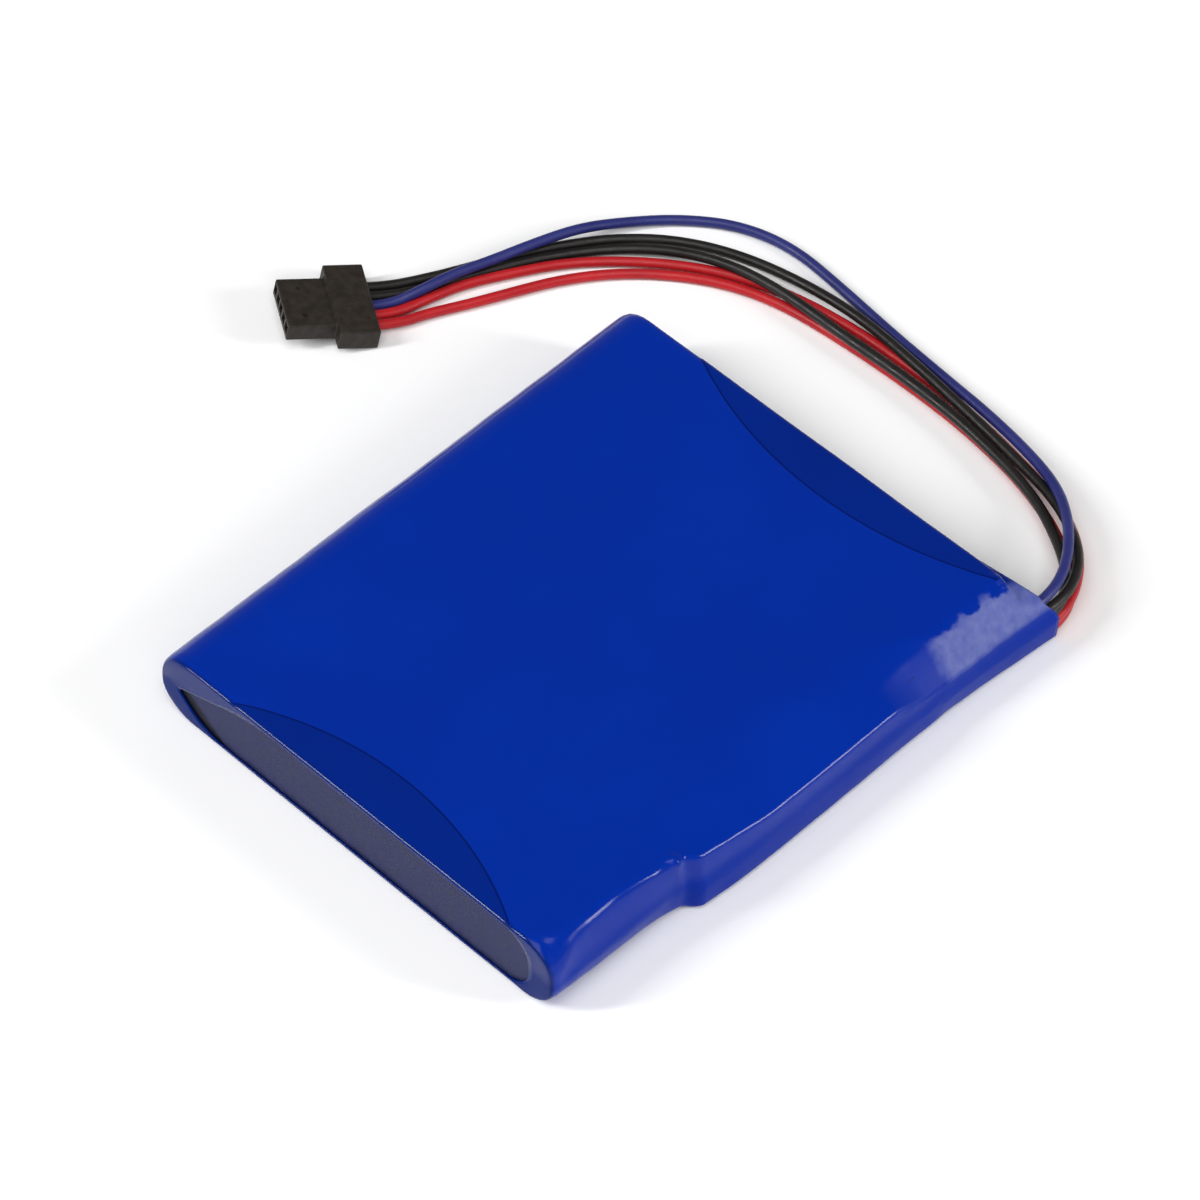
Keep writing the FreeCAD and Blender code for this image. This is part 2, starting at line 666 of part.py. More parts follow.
# Each wire is listed from the connector to the board. The first two points, straight out of the
# connector, and the last two, straight off the board's edge, are worked out. A wire at a level of 0.6
# lies on the surface.
WIRE_ROUTES = {
    "black_wire_a": [
        (-52.8, 26.3, 0.6), (-51.2, 30.6, 0.6), (-48.9, 35.8, 0.6),
        (-45.8, 41.3, 0.6), (-41.7, 46.6, 0.6), (-36.3, 51.1, 0.6), (-29.5, 54.3, 0.6),
        (-21.5, 56.0, 0.8), (-13.0, 56.2, 1.5), (-4.5, 55.1, 2.0), (4.5, 53.9, 1.75),
        (13.0, 52.4, 1.95), (19.5, 50.6, 2.5), (24.4, 47.9, 3.2), (28.0, 44.6, 4.0),
        (30.3, 40.9, 4.6), (31.2, 37.0, 4.75), (30.4, 31.9, 4.7), (29.9, 26.3, 4.8),
    ],
    "black_wire_b": [
        (-51.4, 25.6, 0.6), (-49.8, 29.9, 0.6), (-47.5, 35.2, 0.6),
        (-44.4, 40.6, 0.6), (-40.4, 45.7, 0.7), (-35.2, 49.9, 1.2), (-28.8, 52.5, 1.85),
        (-21.3, 53.9, 1.9), (-13.0, 53.7, 1.9), (-4.5, 53.2, 1.9), (4.3, 52.5, 1.9),
        (12.5, 51.1, 1.95), (18.8, 49.3, 2.1), (23.5, 46.8, 2.4), (27.3, 44.0, 2.9),
        (30.1, 40.7, 3.35), (31.2, 37.0, 3.5), (30.4, 31.9, 3.45), (29.9, 26.3, 3.55),
    ],
    "blue_wire": [
        (-50.5, 24.9, 1.85), (-49.5, 28.7, 2.0), (-48.2, 33.3, 2.0),
        (-46.5, 38.6, 2.0), (-44.5, 43.6, 2.0), (-42.3, 48.4, 0.95), (-38.3, 53.5, 0.6),
        (-32.8, 57.5, 0.6), (-26.0, 59.3, 0.6), (-18.0, 58.9, 0.6), (-9.5, 58.0, 0.7),
        (-1.0, 56.9, 1.1), (7.0, 55.7, 1.7), (14.2, 54.0, 2.5), (19.6, 51.9, 3.3),
        (23.9, 48.9, 4.2), (27.6, 45.2, 5.1), (30.1, 41.1, 5.85), (31.1, 37.1, 6.0),
        (30.4, 31.9, 5.95), (29.9, 26.3, 6.05),
    ],
    "red_wire_a": [
        (-48.9, 23.9, 0.6), (-48.0, 28.9, 0.6), (-45.8, 34.1, 0.6),
        (-42.7, 39.2, 0.6), (-38.8, 43.8, 0.6), (-34.0, 48.0, 0.6), (-28.4, 51.4, 0.6),
        (-21.5, 53.8, 0.6), (-13.5, 54.9, 0.6), (-5.0, 55.1, 0.6), (4.0, 54.9, 0.6),
        (12.5, 53.5, 0.65), (19.0, 51.7, 1.0), (24.3, 48.9, 1.5), (28.2, 45.2, 1.9),
        (30.6, 41.0, 2.2), (31.2, 37.0, 2.25), (30.4, 31.9, 2.2), (29.9, 26.3, 2.3),
    ],
    "red_wire_b": [
        (-47.4, 23.0, 0.6), (-45.6, 27.5, 0.6), (-43.4, 32.2, 0.6),
        (-40.9, 37.2, 0.6), (-37.2, 42.2, 0.6), (-32.4, 46.4, 0.6), (-27.0, 49.6, 0.6),
        (-20.6, 51.7, 0.6), (-13.0, 52.7, 0.6), (-4.4, 53.0, 0.6), (4.2, 52.5, 0.6),
        (12.5, 51.3, 0.6), (18.8, 49.6, 0.6), (23.8, 47.3, 0.7), (27.9, 44.5, 0.85),
        (30.6, 40.9, 0.95), (31.2, 37.0, 1.0), (30.4, 31.9, 0.95), (29.9, 26.3, 1.05),
    ],
}
CONNECTOR_ORDER = ("black_wire_a", "black_wire_b", "blue_wire", "red_wire_a", "red_wire_b")
BOARD_ORDER = ("red_wire_b", "red_wire_a", "black_wire_b", "black_wire_a", "blue_wire")
LARGEST_ARC_SHARE = 0.45


def whole_route(name):
    """The wire's points with its crimped end and its soldered end added."""
    row_across = contact_row(CONNECTOR_ORDER.index(name))
    crimped_end = Vector(-size("wire_entry"), row_across, size("contact_level"))
    straight_out = Vector(size("wire_exit_run"), row_across, size("contact_level"))
    level = size("wire_lowest") + BOARD_ORDER.index(name) * size("wire_step")
    board_end = size("board_far") + size("wire_start_gap")
    column = size("wire_column")
    return (
        [connector_frame().multVec(crimped_end), connector_frame().multVec(straight_out)]
        + [Vector(*point) for point in WIRE_ROUTES[name]]
        + [Vector(column, board_end + size("wire_board_run"), level), Vector(column, board_end, level)]
    )


def rounded_path(points):
    """Straight runs joined by tangent arcs, each as large as its two runs allow."""
    edges = []
    radii = []
    previous = points[0]
    for before, corner, after in zip(points, points[1:], points[2:]):
        back = before - corner
        ahead = after - corner
        run = min(back.Length, ahead.Length)
        back.normalize()
        ahead.normalize()
        half_turn = (math.pi - back.getAngle(ahead)) / 2
        tangent = LARGEST_ARC_SHARE * run
        radius = tangent / math.tan(half_turn)
        inward = back + ahead
        inward.normalize()
        arc_start = corner + back * tangent
        arc_end = corner + ahead * tangent
        arc_middle = corner + inward * (radius / math.cos(half_turn) - radius)
        edges.append(Part.LineSegment(previous, arc_start).toShape())
        edges.append(Part.Arc(arc_start, arc_middle, arc_end).toShape())
        radii.append(radius)
        previous = arc_end
    edges.append(Part.LineSegment(previous, points[-1]).toShape())
    return Part.Wire(edges), radii


def make_wire(name):
    """Insulated wire as one round tube along its route."""
    points = whole_route(name)
    path, radii = rounded_path(points)
    diameter = size("wire_diameter")
    section = Part.Wire(Part.Circle(points[0], points[1] - points[0], diameter / 2).toShape())
    wire = doc.addObject("Part::Feature", name)
    wire.Shape = path.makePipeShell([section], True, False)
    wire.Placement = Placement()
    expected = math.pi * diameter ** 2 / 4 * path.Length
    print(f"{name}: length {path.Length:.1f}, volume {wire.Shape.Volume:.2f} of {expected:.2f}, "
          f"radii from {min(radii):.1f} = {min(radii) / diameter:.1f} diameters")
    print("   radii", " ".join(f"{radius:.0f}" for radius in radii))
    if abs(wire.Shape.Volume / expected - 1) > 0.01:
        raise RuntimeError(f"{name} has the wrong volume")
    keep(wire, name)


# ---------------------------------------------------------------- the pack

def check_and_write():
    """Stop on any failed object, then write one file for each sub-part."""
    doc.recompute()
    for item in doc.Objects:
        if "Invalid" in item.State or "Error" in item.State:
            raise RuntimeError(f"{item.Name} failed: {item.State}")
    os.makedirs("parts", exist_ok=True)
    for item in sub_parts:
        shape = item.Shape
        if shape.isNull() or not shape.isValid() or not shape.Solids:
            raise RuntimeError(f"{item.Label} has no valid solid")
        shape.exportStep(f"parts/{item.Label}.step")
        print(f"{item.Label}: {len(shape.Solids)} solid, {shape.Volume:.2f} mm3")


make_outer_sleeve()
make_inner_wrap()
make_pouch(make_tabs())
make_electrode_roll()
make_tab_tape()
end_insulator("near_end_insulator", "Sizes.near_insulator_face", "Sizes.near_insulator_thickness")
end_insulator("far_end_insulator", "Sizes.far_insulator_face", "Sizes.far_insulator_thickness")
make_strip("positive_strip", "Sizes.positive_strip_low", "+1", "Sizes.positive_strip_low",
           "Sizes.strip_height")
make_strip("negative_strip", "Sizes.negative_strip_low", "-1", "Sizes.negative_strip_low",
           "Sizes.sleeve_thickness / 2 + Sizes.tab_thickness - Sizes.negative_strip_low")
make_board()
make_board_parts()
make_solder_joints()
make_connector_housing()
for contact_number in range(5):
    make_contact(contact_number)
for wire_name in CONNECTOR_ORDER:
    make_wire(wire_name)
check_and_write()
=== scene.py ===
from math import cos, exp, hypot, pi, radians, sin

import bmesh
import bpy
from mathutils import Matrix, Vector, noise


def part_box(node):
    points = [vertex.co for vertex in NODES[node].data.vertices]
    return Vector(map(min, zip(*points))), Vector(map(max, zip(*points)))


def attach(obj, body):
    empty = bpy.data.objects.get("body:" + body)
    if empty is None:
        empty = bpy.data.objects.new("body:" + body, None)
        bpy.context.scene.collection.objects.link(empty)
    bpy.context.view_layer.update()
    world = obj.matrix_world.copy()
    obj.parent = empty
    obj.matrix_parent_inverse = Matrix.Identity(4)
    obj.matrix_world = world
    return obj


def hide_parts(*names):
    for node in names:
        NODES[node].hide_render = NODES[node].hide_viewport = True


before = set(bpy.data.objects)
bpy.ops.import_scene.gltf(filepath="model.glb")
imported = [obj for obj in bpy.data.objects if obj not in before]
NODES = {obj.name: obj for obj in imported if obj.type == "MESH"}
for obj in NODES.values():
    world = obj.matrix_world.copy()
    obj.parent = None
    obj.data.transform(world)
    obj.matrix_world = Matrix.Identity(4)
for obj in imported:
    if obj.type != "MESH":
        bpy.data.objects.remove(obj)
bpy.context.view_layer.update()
MM = 0.001


# ---------------------------------------------------------------- small helpers

def blend(low, high, share):
    return low + (high - low) * share


def smooth(edge_from, edge_to, number):
    """0 before edge_from, 1 after edge_to, and an even S curve between them."""
    share = min(1.0, max(0.0, (number - edge_from) / (edge_to - edge_from)))
    return share * share * (3 - 2 * share)


def add_object(name, data, material=None, smooth_faces=True):
    thing = bpy.data.objects.new(name, data)
    bpy.context.scene.collection.objects.link(thing)
    if material is not None:
        data.materials.append(material)
    if smooth_faces and thing.type == "MESH":
        for face in data.polygons:
            face.use_smooth = True
    return thing


def finished_mesh(build, name):
    """Turn a bmesh into a mesh whose faces look outwards."""
    bmesh.ops.recalc_face_normals(build, faces=build.faces)
    mesh = bpy.data.meshes.new(name)
    build.to_mesh(mesh)
    build.free()
    return mesh


def apply_modifiers(thing):
    """Turn the object's modifiers into plain mesh."""
    graph = bpy.context.evaluated_depsgraph_get()
    finished = bpy.data.meshes.new_from_object(thing.evaluated_get(graph))
    old = thing.data
    thing.modifiers.clear()
    thing.data = finished
    bpy.data.meshes.remove(old)


# ---------------------------------------------------------------- camera

CAMERA_AZIMUTH = radians(44.645)
CAMERA_ELEVATION = radians(50.445)
CAMERA_DISTANCE = 629.8 * MM
CAMERA_AIM = Vector((-3.21, 5.06, 4.84)) * MM
CAMERA_LENS = 178.77
CLIP_SHARES = (0.02, 50)        # of the camera's distance


def make_camera():
    camera = bpy.data.objects.new("camera", bpy.data.cameras.new("camera"))
    bpy.context.scene.collection.objects.link(camera)
    back = Vector((sin(CAMERA_AZIMUTH) * cos(CAMERA_ELEVATION),
                   -cos(CAMERA_AZIMUTH) * cos(CAMERA_ELEVATION),
                   sin(CAMERA_ELEVATION)))
    camera.location = CAMERA_AIM + back * CAMERA_DISTANCE
    camera.rotation_euler = (-back).to_track_quat("-Z", "Y").to_euler()
    camera.data.lens = CAMERA_LENS
    camera.data.clip_start = CAMERA_DISTANCE * CLIP_SHARES[0]
    camera.data.clip_end = CAMERA_DISTANCE * CLIP_SHARES[1]
    bpy.context.scene.camera = camera


make_camera()


# ---------------------------------------------------------------- material tools

NOISE_RANGE = (0.3, 0.7)        # a noise's output mostly lies between these
WAVE_SCALE = 0.314              # makes a wave texture repeat once per pitch


class Paint:
    """A Principled material whose nodes are added one by one."""

    def __init__(self, name, roughness=0.4, metallic=0.0, specular=0.5):
        self.material = bpy.data.materials.new(name)
        self.material.use_nodes = True
        self.nodes = self.material.node_tree.nodes
        self.links = self.material.node_tree.links
        self.shader = self.nodes["Principled BSDF"]
        self.shader.inputs["Roughness"].default_value = roughness
        self.shader.inputs["Metallic"].default_value = metallic
        self.shader.inputs["Specular IOR Level"].default_value = specular
        self.place = self.nodes.new("ShaderNodeTexCoord").outputs["Object"]
        self.normal = None

    def stretched(self, scale):
        mapping = self.nodes.new("ShaderNodeMapping")
        mapping.inputs["Scale"].default_value = scale
        self.links.new(self.place, mapping.inputs["Vector"])
        return mapping.outputs["Vector"]

    def noise(self, grain, detail=3.0, stretch=None, roughness=0.5):
        """Noise whose blotches are about grain metres wide."""
        node = self.nodes.new("ShaderNodeTexNoise")
        node.inputs["Scale"].default_value = 1 / grain
        node.inputs["Detail"].default_value = detail
        node.inputs["Roughness"].default_value = roughness
        source = self.place if stretch is None else self.stretched(stretch)
        self.links.new(source, node.inputs["Vector"])
        return node.outputs["Fac"]

    def cells(self, grain):
        node = self.nodes.new("ShaderNodeTexVoronoi")
        node.inputs["Scale"].default_value = 1 / grain
        self.links.new(self.place, node.inputs["Vector"])
        return node.outputs["Distance"]

    def bands(self, pitch, direction="X", distortion=0.0):
        node = self.nodes.new("ShaderNodeTexWave")
        node.bands_direction = direction
        node.inputs["Scale"].default_value = WAVE_SCALE / pitch
        node.inputs["Distortion"].default_value = distortion
        self.links.new(self.place, node.inputs["Vector"])
        return node.outputs["Fac"]

    def ramp(self, source, stops):
        """A colour that follows the source; stops are (position, colour)."""
        stops = list(stops)
        node = self.nodes.new("ShaderNodeValToRGB")
        elements = node.color_ramp.elements
        while len(elements) < len(stops):
            elements.new(0.5)
        for element, (position, colour) in zip(elements, stops):
            element.position = position
            element.color = (*colour, 1.0)
        self.links.new(source, node.inputs["Fac"])
        return node.outputs["Color"]

    def fit(self, source, low, high, to_low, to_high):
        node = self.nodes.new("ShaderNodeMapRange")
        for name, number in zip(("From Min", "From Max", "To Min", "To Max"), (low, high, to_low, to_high)):
            node.inputs[name].default_value = number
        self.links.new(source, node.inputs["Value"])
        return node.outputs["Result"]

    def over(self, source, span, before=0.0, past=1.0):
        """Changes from before to past over a span given in millimetres."""
        return self.fit(source, span[0] * MM, span[1] * MM, before, past)

    def math(self, operation, first, second=None):
        node = self.nodes.new("ShaderNodeMath")
        node.operation = operation
        for socket, item in zip(node.inputs, (first, second)):
            if isinstance(item, (int, float)):
                socket.default_value = item
            elif item is not None:
                self.links.new(item, socket)
        return node.outputs["Value"]

    def product(self, *factors):
        """All factors multiplied, from the first on."""
        total = factors[0]
        for factor in factors[1:]:
            total = self.math("MULTIPLY", total, factor)
        return total

    def coordinates(self):
        """The x, y and z of a point on the object."""
        position = self.nodes.new("ShaderNodeSeparateXYZ")
        self.links.new(self.place, position.inputs["Vector"])
        return [position.outputs[axis] for axis in "XYZ"]

    def mix(self, share, first, second):
        """First colour where share is 0, second where it is 1."""
        node = self.nodes.new("ShaderNodeMix")
        node.data_type = "RGBA"
        self.links.new(share, node.inputs["Factor"])
        for socket, item in ((node.inputs[6], first), (node.inputs[7], second)):
            if isinstance(item, tuple):
                socket.default_value = (*item, 1.0)
            else:
                self.links.new(item, socket)
        return node.outputs[2]

    def colour(self, source):
        self.links.new(source, self.shader.inputs["Base Color"])

    def roughness(self, source, low, high):
        self.links.new(self.fit(source, *NOISE_RANGE, low, high), self.shader.inputs["Roughness"])

    def bump(self, source, height):
        """Raise the surface by source times height metres, on top of any bump before."""
        node = self.nodes.new("ShaderNodeBump")
        node.inputs["Distance"].default_value = height
        self.links.new(source, node.inputs["Height"])
        if self.normal is not None:
            self.links.new(self.normal, node.inputs["Normal"])
        self.normal = node.outputs["Normal"]
        self.links.new(self.normal, self.shader.inputs["Normal"])


def moulded(name, dark, light, roughness, grain, height, specular=0.5):
    """Plastic with a fine moulded grain and a slight change of shade."""
    paint = Paint(name, roughness=roughness, specular=specular)
    paint.colour(paint.ramp(paint.noise(grain * 8), [(0.35, dark), (0.65, light)]))
    paint.roughness(paint.noise(grain * 5), roughness * 0.85, roughness * 1.15)
    paint.bump(paint.noise(grain), height)
    return paint.material


# ---------------------------------------------------------------- wires

WIRE_DIAMETER = 1.2 * MM
CONTACT_PITCH = 1.45 * MM
CONTACT_LEVEL = 1.25 * MM
CONTACT_ROWS = [(2 - number) * CONTACT_PITCH for number in range(5)]
CONNECTOR_PLACE = (
    Matrix.Translation(Vector((-53.35, 19.1, 0)) * MM)
    @ Matrix.Rotation(radians(58), 4, "Z")
    @ Matrix.Rotation(radians(12), 4, "Y")
)
# The wires stand in a column on the end of the board, and leave it straight for a short run.
WIRE_COLUMN = 29.7 * MM
BOARD_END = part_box("protection_board")[1].y + 0.05 * MM
BOARD_RUN = 5.6 * MM
LOWEST_LEVEL = 1.0 * MM
LEVEL_STEP = 1.25 * MM
WIRE_ENTRY = 1.0 * MM           # how far a wire starts inside the connector's back
WIRE_EXIT_RUN = 2.2 * MM        # how far it then runs straight out of it

# Control points in metres, from the connector to the board. make_wire works out two more before them,
# from the connector, and two after them, from the board.
WIRE_ROUTES = {
    "black_wire_a": [
        (-.0526, .0262, .0006), (-.0505, .0303, .0006), (-.0482, .0355, .0006),
        (-.0451, .0410, .0006), (-.0414, .0463, .0006), (-.0362, .0510, .0006), (-.0295, .0543, .0006),
        (-.0215, .0560, .0008), (-.0130, .0562, .0015), (-.0045, .0551, .0020), (.0046, .0540, .00185),
        (.0131, .0526, .00195), (.0199, .0510, .0025), (.0250, .0485, .0032), (.0288, .0454, .0040),
        (.0311, .0414, .0046), (.0314, .0374, .00475), (.0302, .0319, .0047), (.0299, .0263, .0048),
    ],
    "black_wire_b": [
        (-.0513, .0255, .0006), (-.0494, .0298, .0006), (-.0470, .0350, .0006),
        (-.0439, .0404, .0006), (-.0401, .0453, .0007), (-.0349, .0493, .0012), (-.0285, .0517, .00185),
        (-.0211, .0527, .0019), (-.0128, .0526, .0019), (-.0043, .0528, .0019), (.0044, .0525, .0019),
        (.0126, .0513, .00195), (.0190, .0496, .0021), (.0238, .0471, .0024), (.0278, .0444, .0029),
        (.0307, .0410, .00335), (.0315, .0372, .0035), (.0302, .0319, .00345), (.0299, .0263, .00355),
    ],
    "blue_wire": [
        (-.0505, .0246, .00185), (-.0496, .0287, .0020), (-.0480, .0332, .0020),
        (-.0464, .0385, .0020), (-.0445, .0436, .0020), (-.0423, .0484, .00095), (-.0383, .0535, .0006),
        (-.0328, .0575, .0006), (-.0261, .0592, .0006), (-.0181, .0585, .0006), (-.0096, .0574, .0007),
        (-.0011, .0564, .0011), (.0069, .0554, .0017), (.0141, .0538, .0025), (.0196, .0519, .0033),
        (.0239, .0489, .0042), (.0275, .0450, .0051), (.0300, .0409, .0057), (.0307, .0370, .0058),
        (.0300, .0319, .0057), (.0296, .0263, .0058),
    ],
    "red_wire_a": [
        (-.0499, .0249, .0006), (-.0486, .0293, .0006), (-.0460, .0342, .0006),
        (-.0430, .0393, .0006), (-.0389, .0439, .0006), (-.0340, .0480, .0006), (-.0284, .0514, .0006),
        (-.0215, .0538, .0006), (-.0135, .0550, .0006), (-.0050, .0552, .0006), (.0040, .0549, .0006),
        (.0126, .0536, .00065), (.0193, .0520, .0010), (.0248, .0494, .0015), (.0287, .0457, .0019),
        (.0311, .0414, .0022), (.0315, .0373, .00225), (.0302, .0319, .0022), (.0299, .0263, .0023),
    ],
    "red_wire_b": [
        (-.0482, .0236, .0006), (-.0460, .0277, .0006), (-.0438, .0324, .0006),
        (-.0413, .0375, .0006), (-.0376, .0426, .0006), (-.0327, .0470, .0006), (-.0272, .0503, .0006),
        (-.0208, .0522, .0006), (-.0130, .0529, .0006), (-.0044, .0532, .0006), (.0044, .0530, .0006),
        (.0128, .0519, .0006), (.0191, .0502, .0006), (.0242, .0479, .0007), (.0285, .0450, .00085),
        (.0310, .0412, .00095), (.0314, .0372, .0010), (.0302, .0319, .00095), (.0299, .0263, .00105),
    ],
}
CONTACTS = [f"crimp_contact_{number}" for number in range(1, 6)]
CONNECTOR_ORDER = ("black_wire_a", "black_wire_b", "blue_wire", "red_wire_a", "red_wire_b")
BOARD_ORDER = ("red_wire_b", "red_wire_a", "black_wire_b", "black_wire_a", "blue_wire")
WIRE_SHADES = {
    "black": ((0.006, 0.005, 0.0045), (0.012, 0.010, 0.009)),
    "blue": ((0.014, 0.018, 0.125), (0.022, 0.027, 0.16)),
    "red": ((0.36, 0.006, 0.010), (0.46, 0.010, 0.014)),
}


def wire_material(colour):
    """Extruded insulation: a slight change of shade, a few scuffs and an even gloss."""
    dark, light = WIRE_SHADES[colour]
    paint = Paint(f"{colour}_insulation", roughness=0.4, specular=0.35)
    paint.colour(paint.ramp(paint.noise(4 * MM, detail=5), [(0.3, dark), (0.7, light)]))
    paint.roughness(paint.noise(1.5 * MM, detail=6), 0.34, 0.5)
    paint.bump(paint.noise(0.9 * MM, detail=4), 0.05 * MM)
    paint.bump(paint.noise(0.15 * MM), 0.006 * MM)
    return paint.material


def make_wire(name, material):
    row = CONTACT_ROWS[CONNECTOR_ORDER.index(name)]
    level = LOWEST_LEVEL + BOARD_ORDER.index(name) * LEVEL_STEP
    points = [CONNECTOR_PLACE @ Vector((along, row, CONTACT_LEVEL)) for along in (-WIRE_ENTRY, WIRE_EXIT_RUN)]
    points += [Vector(point) for point in WIRE_ROUTES[name]]
    points += [Vector((WIRE_COLUMN, BOARD_END + run, level)) for run in (BOARD_RUN, 0)]
    curve = bpy.data.curves.new(f"{name}_insulated", "CURVE")
    curve.dimensions = "3D"
    curve.bevel_depth = WIRE_DIAMETER / 2
    curve.bevel_resolution = 5
    curve.resolution_u = 10
    curve.use_fill_caps = True
    spline = curve.splines.new("NURBS")
    spline.points.add(len(points) - 1)
    for control, point in zip(spline.points, points):
        control.co = (*point, 1)
    spline.order_u = 3
    spline.use_endpoint_u = True
    wire = add_object(f"{name}_insulated", curve, material)
    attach(wire, "root")
    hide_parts(name)
    return wire, points[-1]


def make_wires():
    materials = {colour: wire_material(colour) for colour in WIRE_SHADES}
    for name in CONNECTOR_ORDER:
        wire, board_point = make_wire(name, materials[name.split("_")[0]])


# ---------------------------------------------------------------- sleeve

SLEEVE_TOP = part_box("outer_sleeve")[1].z
SLEEVE_HALF_LENGTH = -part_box("outer_sleeve")[0].y
SLEEVE_HALF_WIDTH = -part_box("outer_sleeve")[0].x
SNOUT_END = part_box("outer_sleeve")[1].y
SNOUT_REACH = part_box("outer_sleeve")[1].x
SIDE_RADIUS = 4.4 * MM
FOLD_LENGTH = 1.2 * MM
FOLD_DEPTH = 0.4 * MM
FOLD_STEPS = 6
RIM_STEPS = 5
LAST_STATION = SLEEVE_HALF_LENGTH - FOLD_LENGTH
FILM = 0.2 * MM

# The long opening in the folded ends, in millimetres.
OPENING_LOW = 0.6
OPENING_HIGH = 9.0
OPENING_RIGHT = 25.5
OPENING_LEFT = 26.1
POINTED_END_LEVEL = 4.7

# How many steps each stretch of a ring has: half the underside, the top, each rounded corner, a straight
# between two corners, and the slope from the right side's crest up to its shoulder.
BOTTOM_STEPS = 12
TOP_STEPS = 150
CORNER_STEPS = 7
STRAIGHT_STEPS = 2
SLOPE_STEPS = 6
SIDE_STEPS = (BOTTOM_STEPS, STRAIGHT_STEPS, STRAIGHT_STEPS, SLOPE_STEPS, TOP_STEPS, STRAIGHT_STEPS,
              STRAIGHT_STEPS)
ROUNDING_SHARE = 0.98           # how much of a side its two roundings may take up together

# Right side of the sleeve at stations along Y, all in millimetres: the outer corners from the underside
# to the top as (x, z, reach of the rounding). The ridge is low on the side, the crest is the upper edge
# of the side and the shoulder is where the flat top starts to fall.
RIGHT_SIDE = [
    # y,     foot,              ridge,             crest,             shoulder
    (-33.3, (29.0, 0.0, 4.3), (29.0, 4.8, 0.3), (29.0, 9.6, 4.2), (22.0, 9.6, 2.0)),
    (-32.2, (28.8, 0.0, 3.8), (28.9, 4.8, 0.4), (28.8, 9.6, 3.0), (22.0, 9.6, 2.0)),
    (-30.4, (28.3, 0.0, 3.0), (29.1, 4.6, 1.0), (28.1, 9.6, 1.7), (22.0, 9.6, 2.0)),
    (-28.0, (28.2, 0.0, 2.4), (29.1, 4.4, 1.2), (27.9, 9.6, 1.2), (22.0, 9.6, 2.0)),
    (-24.0, (28.2, 0.0, 2.2), (29.1, 4.2, 1.2), (27.9, 9.5, 1.0), (22.0, 9.6, 2.0)),
    (-20.5, (28.2, 0.0, 2.0), (29.1, 4.2, 1.2), (28.3, 9.4, 0.9), (22.0, 9.6, 2.0)),
    (-17.6, (28.5, 0.0, 1.6), (29.1, 4.0, 1.0), (28.7, 9.2, 0.8), (23.0, 9.6, 2.5)),
    (-15.3, (28.9, 0.0, 1.2), (29.2, 3.8, 1.0), (29.0, 9.0, 0.7), (24.5, 9.6, 2.5)),
    (-14.2, (30.3, 0.0, 0.9), (30.4, 3.6, 0.8), (29.9, 8.5, 0.5), (25.0, 9.6, 2.5)),
    (-9.0, (30.7, 0.0, 0.8), (30.8, 3.4, 0.8), (30.3, 7.8, 0.45), (25.0, 9.6, 2.5)),
    (-4.0, (30.9, 0.0, 0.8), (30.9, 3.4, 0.8), (30.7, 7.3, 0.4), (25.5, 9.6, 2.5)),
    (4.0, (30.9, 0.0, 0.8), (30.9, 3.4, 0.8), (30.75, 7.2, 0.4), (25.5, 9.6, 2.5)),
    (15.0, (30.8, 0.0, 0.8), (31.0, 3.2, 0.7), (30.7, 7.2, 0.4), (25.5, 9.6, 2.5)),
    (17.0, (30.8, 0.0, 0.8), (31.0, 3.1, 0.6), (30.8, 6.4, 0.4), (26.0, 9.6, 2.2)),
    (19.0, (30.8, 0.0, 0.7), (31.0, 3.0, 0.6), (30.9, 5.9, 0.4), (26.5, 9.6, 2.0)),
    (22.5, (30.8, 0.0, 0.7), (31.2, 3.0, 0.5), (31.0, 5.7, 0.4), (27.6, 9.6, 1.4)),
    (26.0, (31.0, 0.0, 0.7), (31.4, 3.0, 0.5), (31.1, 5.8, 0.4), (27.8, 9.6, 1.2)),
    (31.0, (31.4, 0.0, 0.6), (31.7, 3.0, 0.5), (31.2, 6.1, 0.4), (27.8, 9.6, 1.2)),
    (33.3, (31.6, 0.0, 0.5), (31.9, 3.2, 0.5), (31.3, 6.4, 0.4), (27.8, 9.6, 1.4)),
]
STATION_BLUR = 0.5 * MM


def straight_side_at(y):
    """Foot, ridge, crest and shoulder at y, in line between the two stations beside it."""
    last = len(RIGHT_SIDE) - 1
    after = next((index for index, row in enumerate(RIGHT_SIDE) if row[0] * MM >= y), last)
    after = max(after, 1)
    near, far = RIGHT_SIDE[after - 1], RIGHT_SIDE[after]
    share = min(1.0, max(0.0, (y - near[0] * MM) / ((far[0] - near[0]) * MM)))
    return [[blend(a, b, share) * MM for a, b in zip(*pair)] for pair in zip(near[1:], far[1:])]


def right_side_at(y):
    """The side's corners at y, with the change of direction at each station softened."""
    samples = [straight_side_at(y + offset * STATION_BLUR) for offset in (-1.0, -0.5, 0.0, 0.5, 1.0)]
    return [
        tuple(sum(sample[corner][axis] for sample in samples) / len(samples) for axis in range(3))
        for corner in range(4)
    ]


def rounded_corner(before, corner, after, reach):
    """Points of the arc that rounds one corner of an outline, from before to after."""
    back = (before - corner).normalized()
    ahead = (after - corner).normalized()
    arc_start = corner + back * reach
    arc_end = corner + ahead * reach
    weight = sin(back.angle(ahead) / 2)
    points = []
    for step in range(CORNER_STEPS + 1):
        share = step / CORNER_STEPS
        parts = ((1 - share) ** 2, 2 * weight * share * (1 - share), share ** 2)
        total = arc_start * parts[0] + corner * parts[1] + arc_end * parts[2]
        points.append(total / sum(parts))
    return points


def straight(start, end, steps):
    """Points between start and end, without either."""
    return [start.lerp(end, step / steps) for step in range(1, steps)]


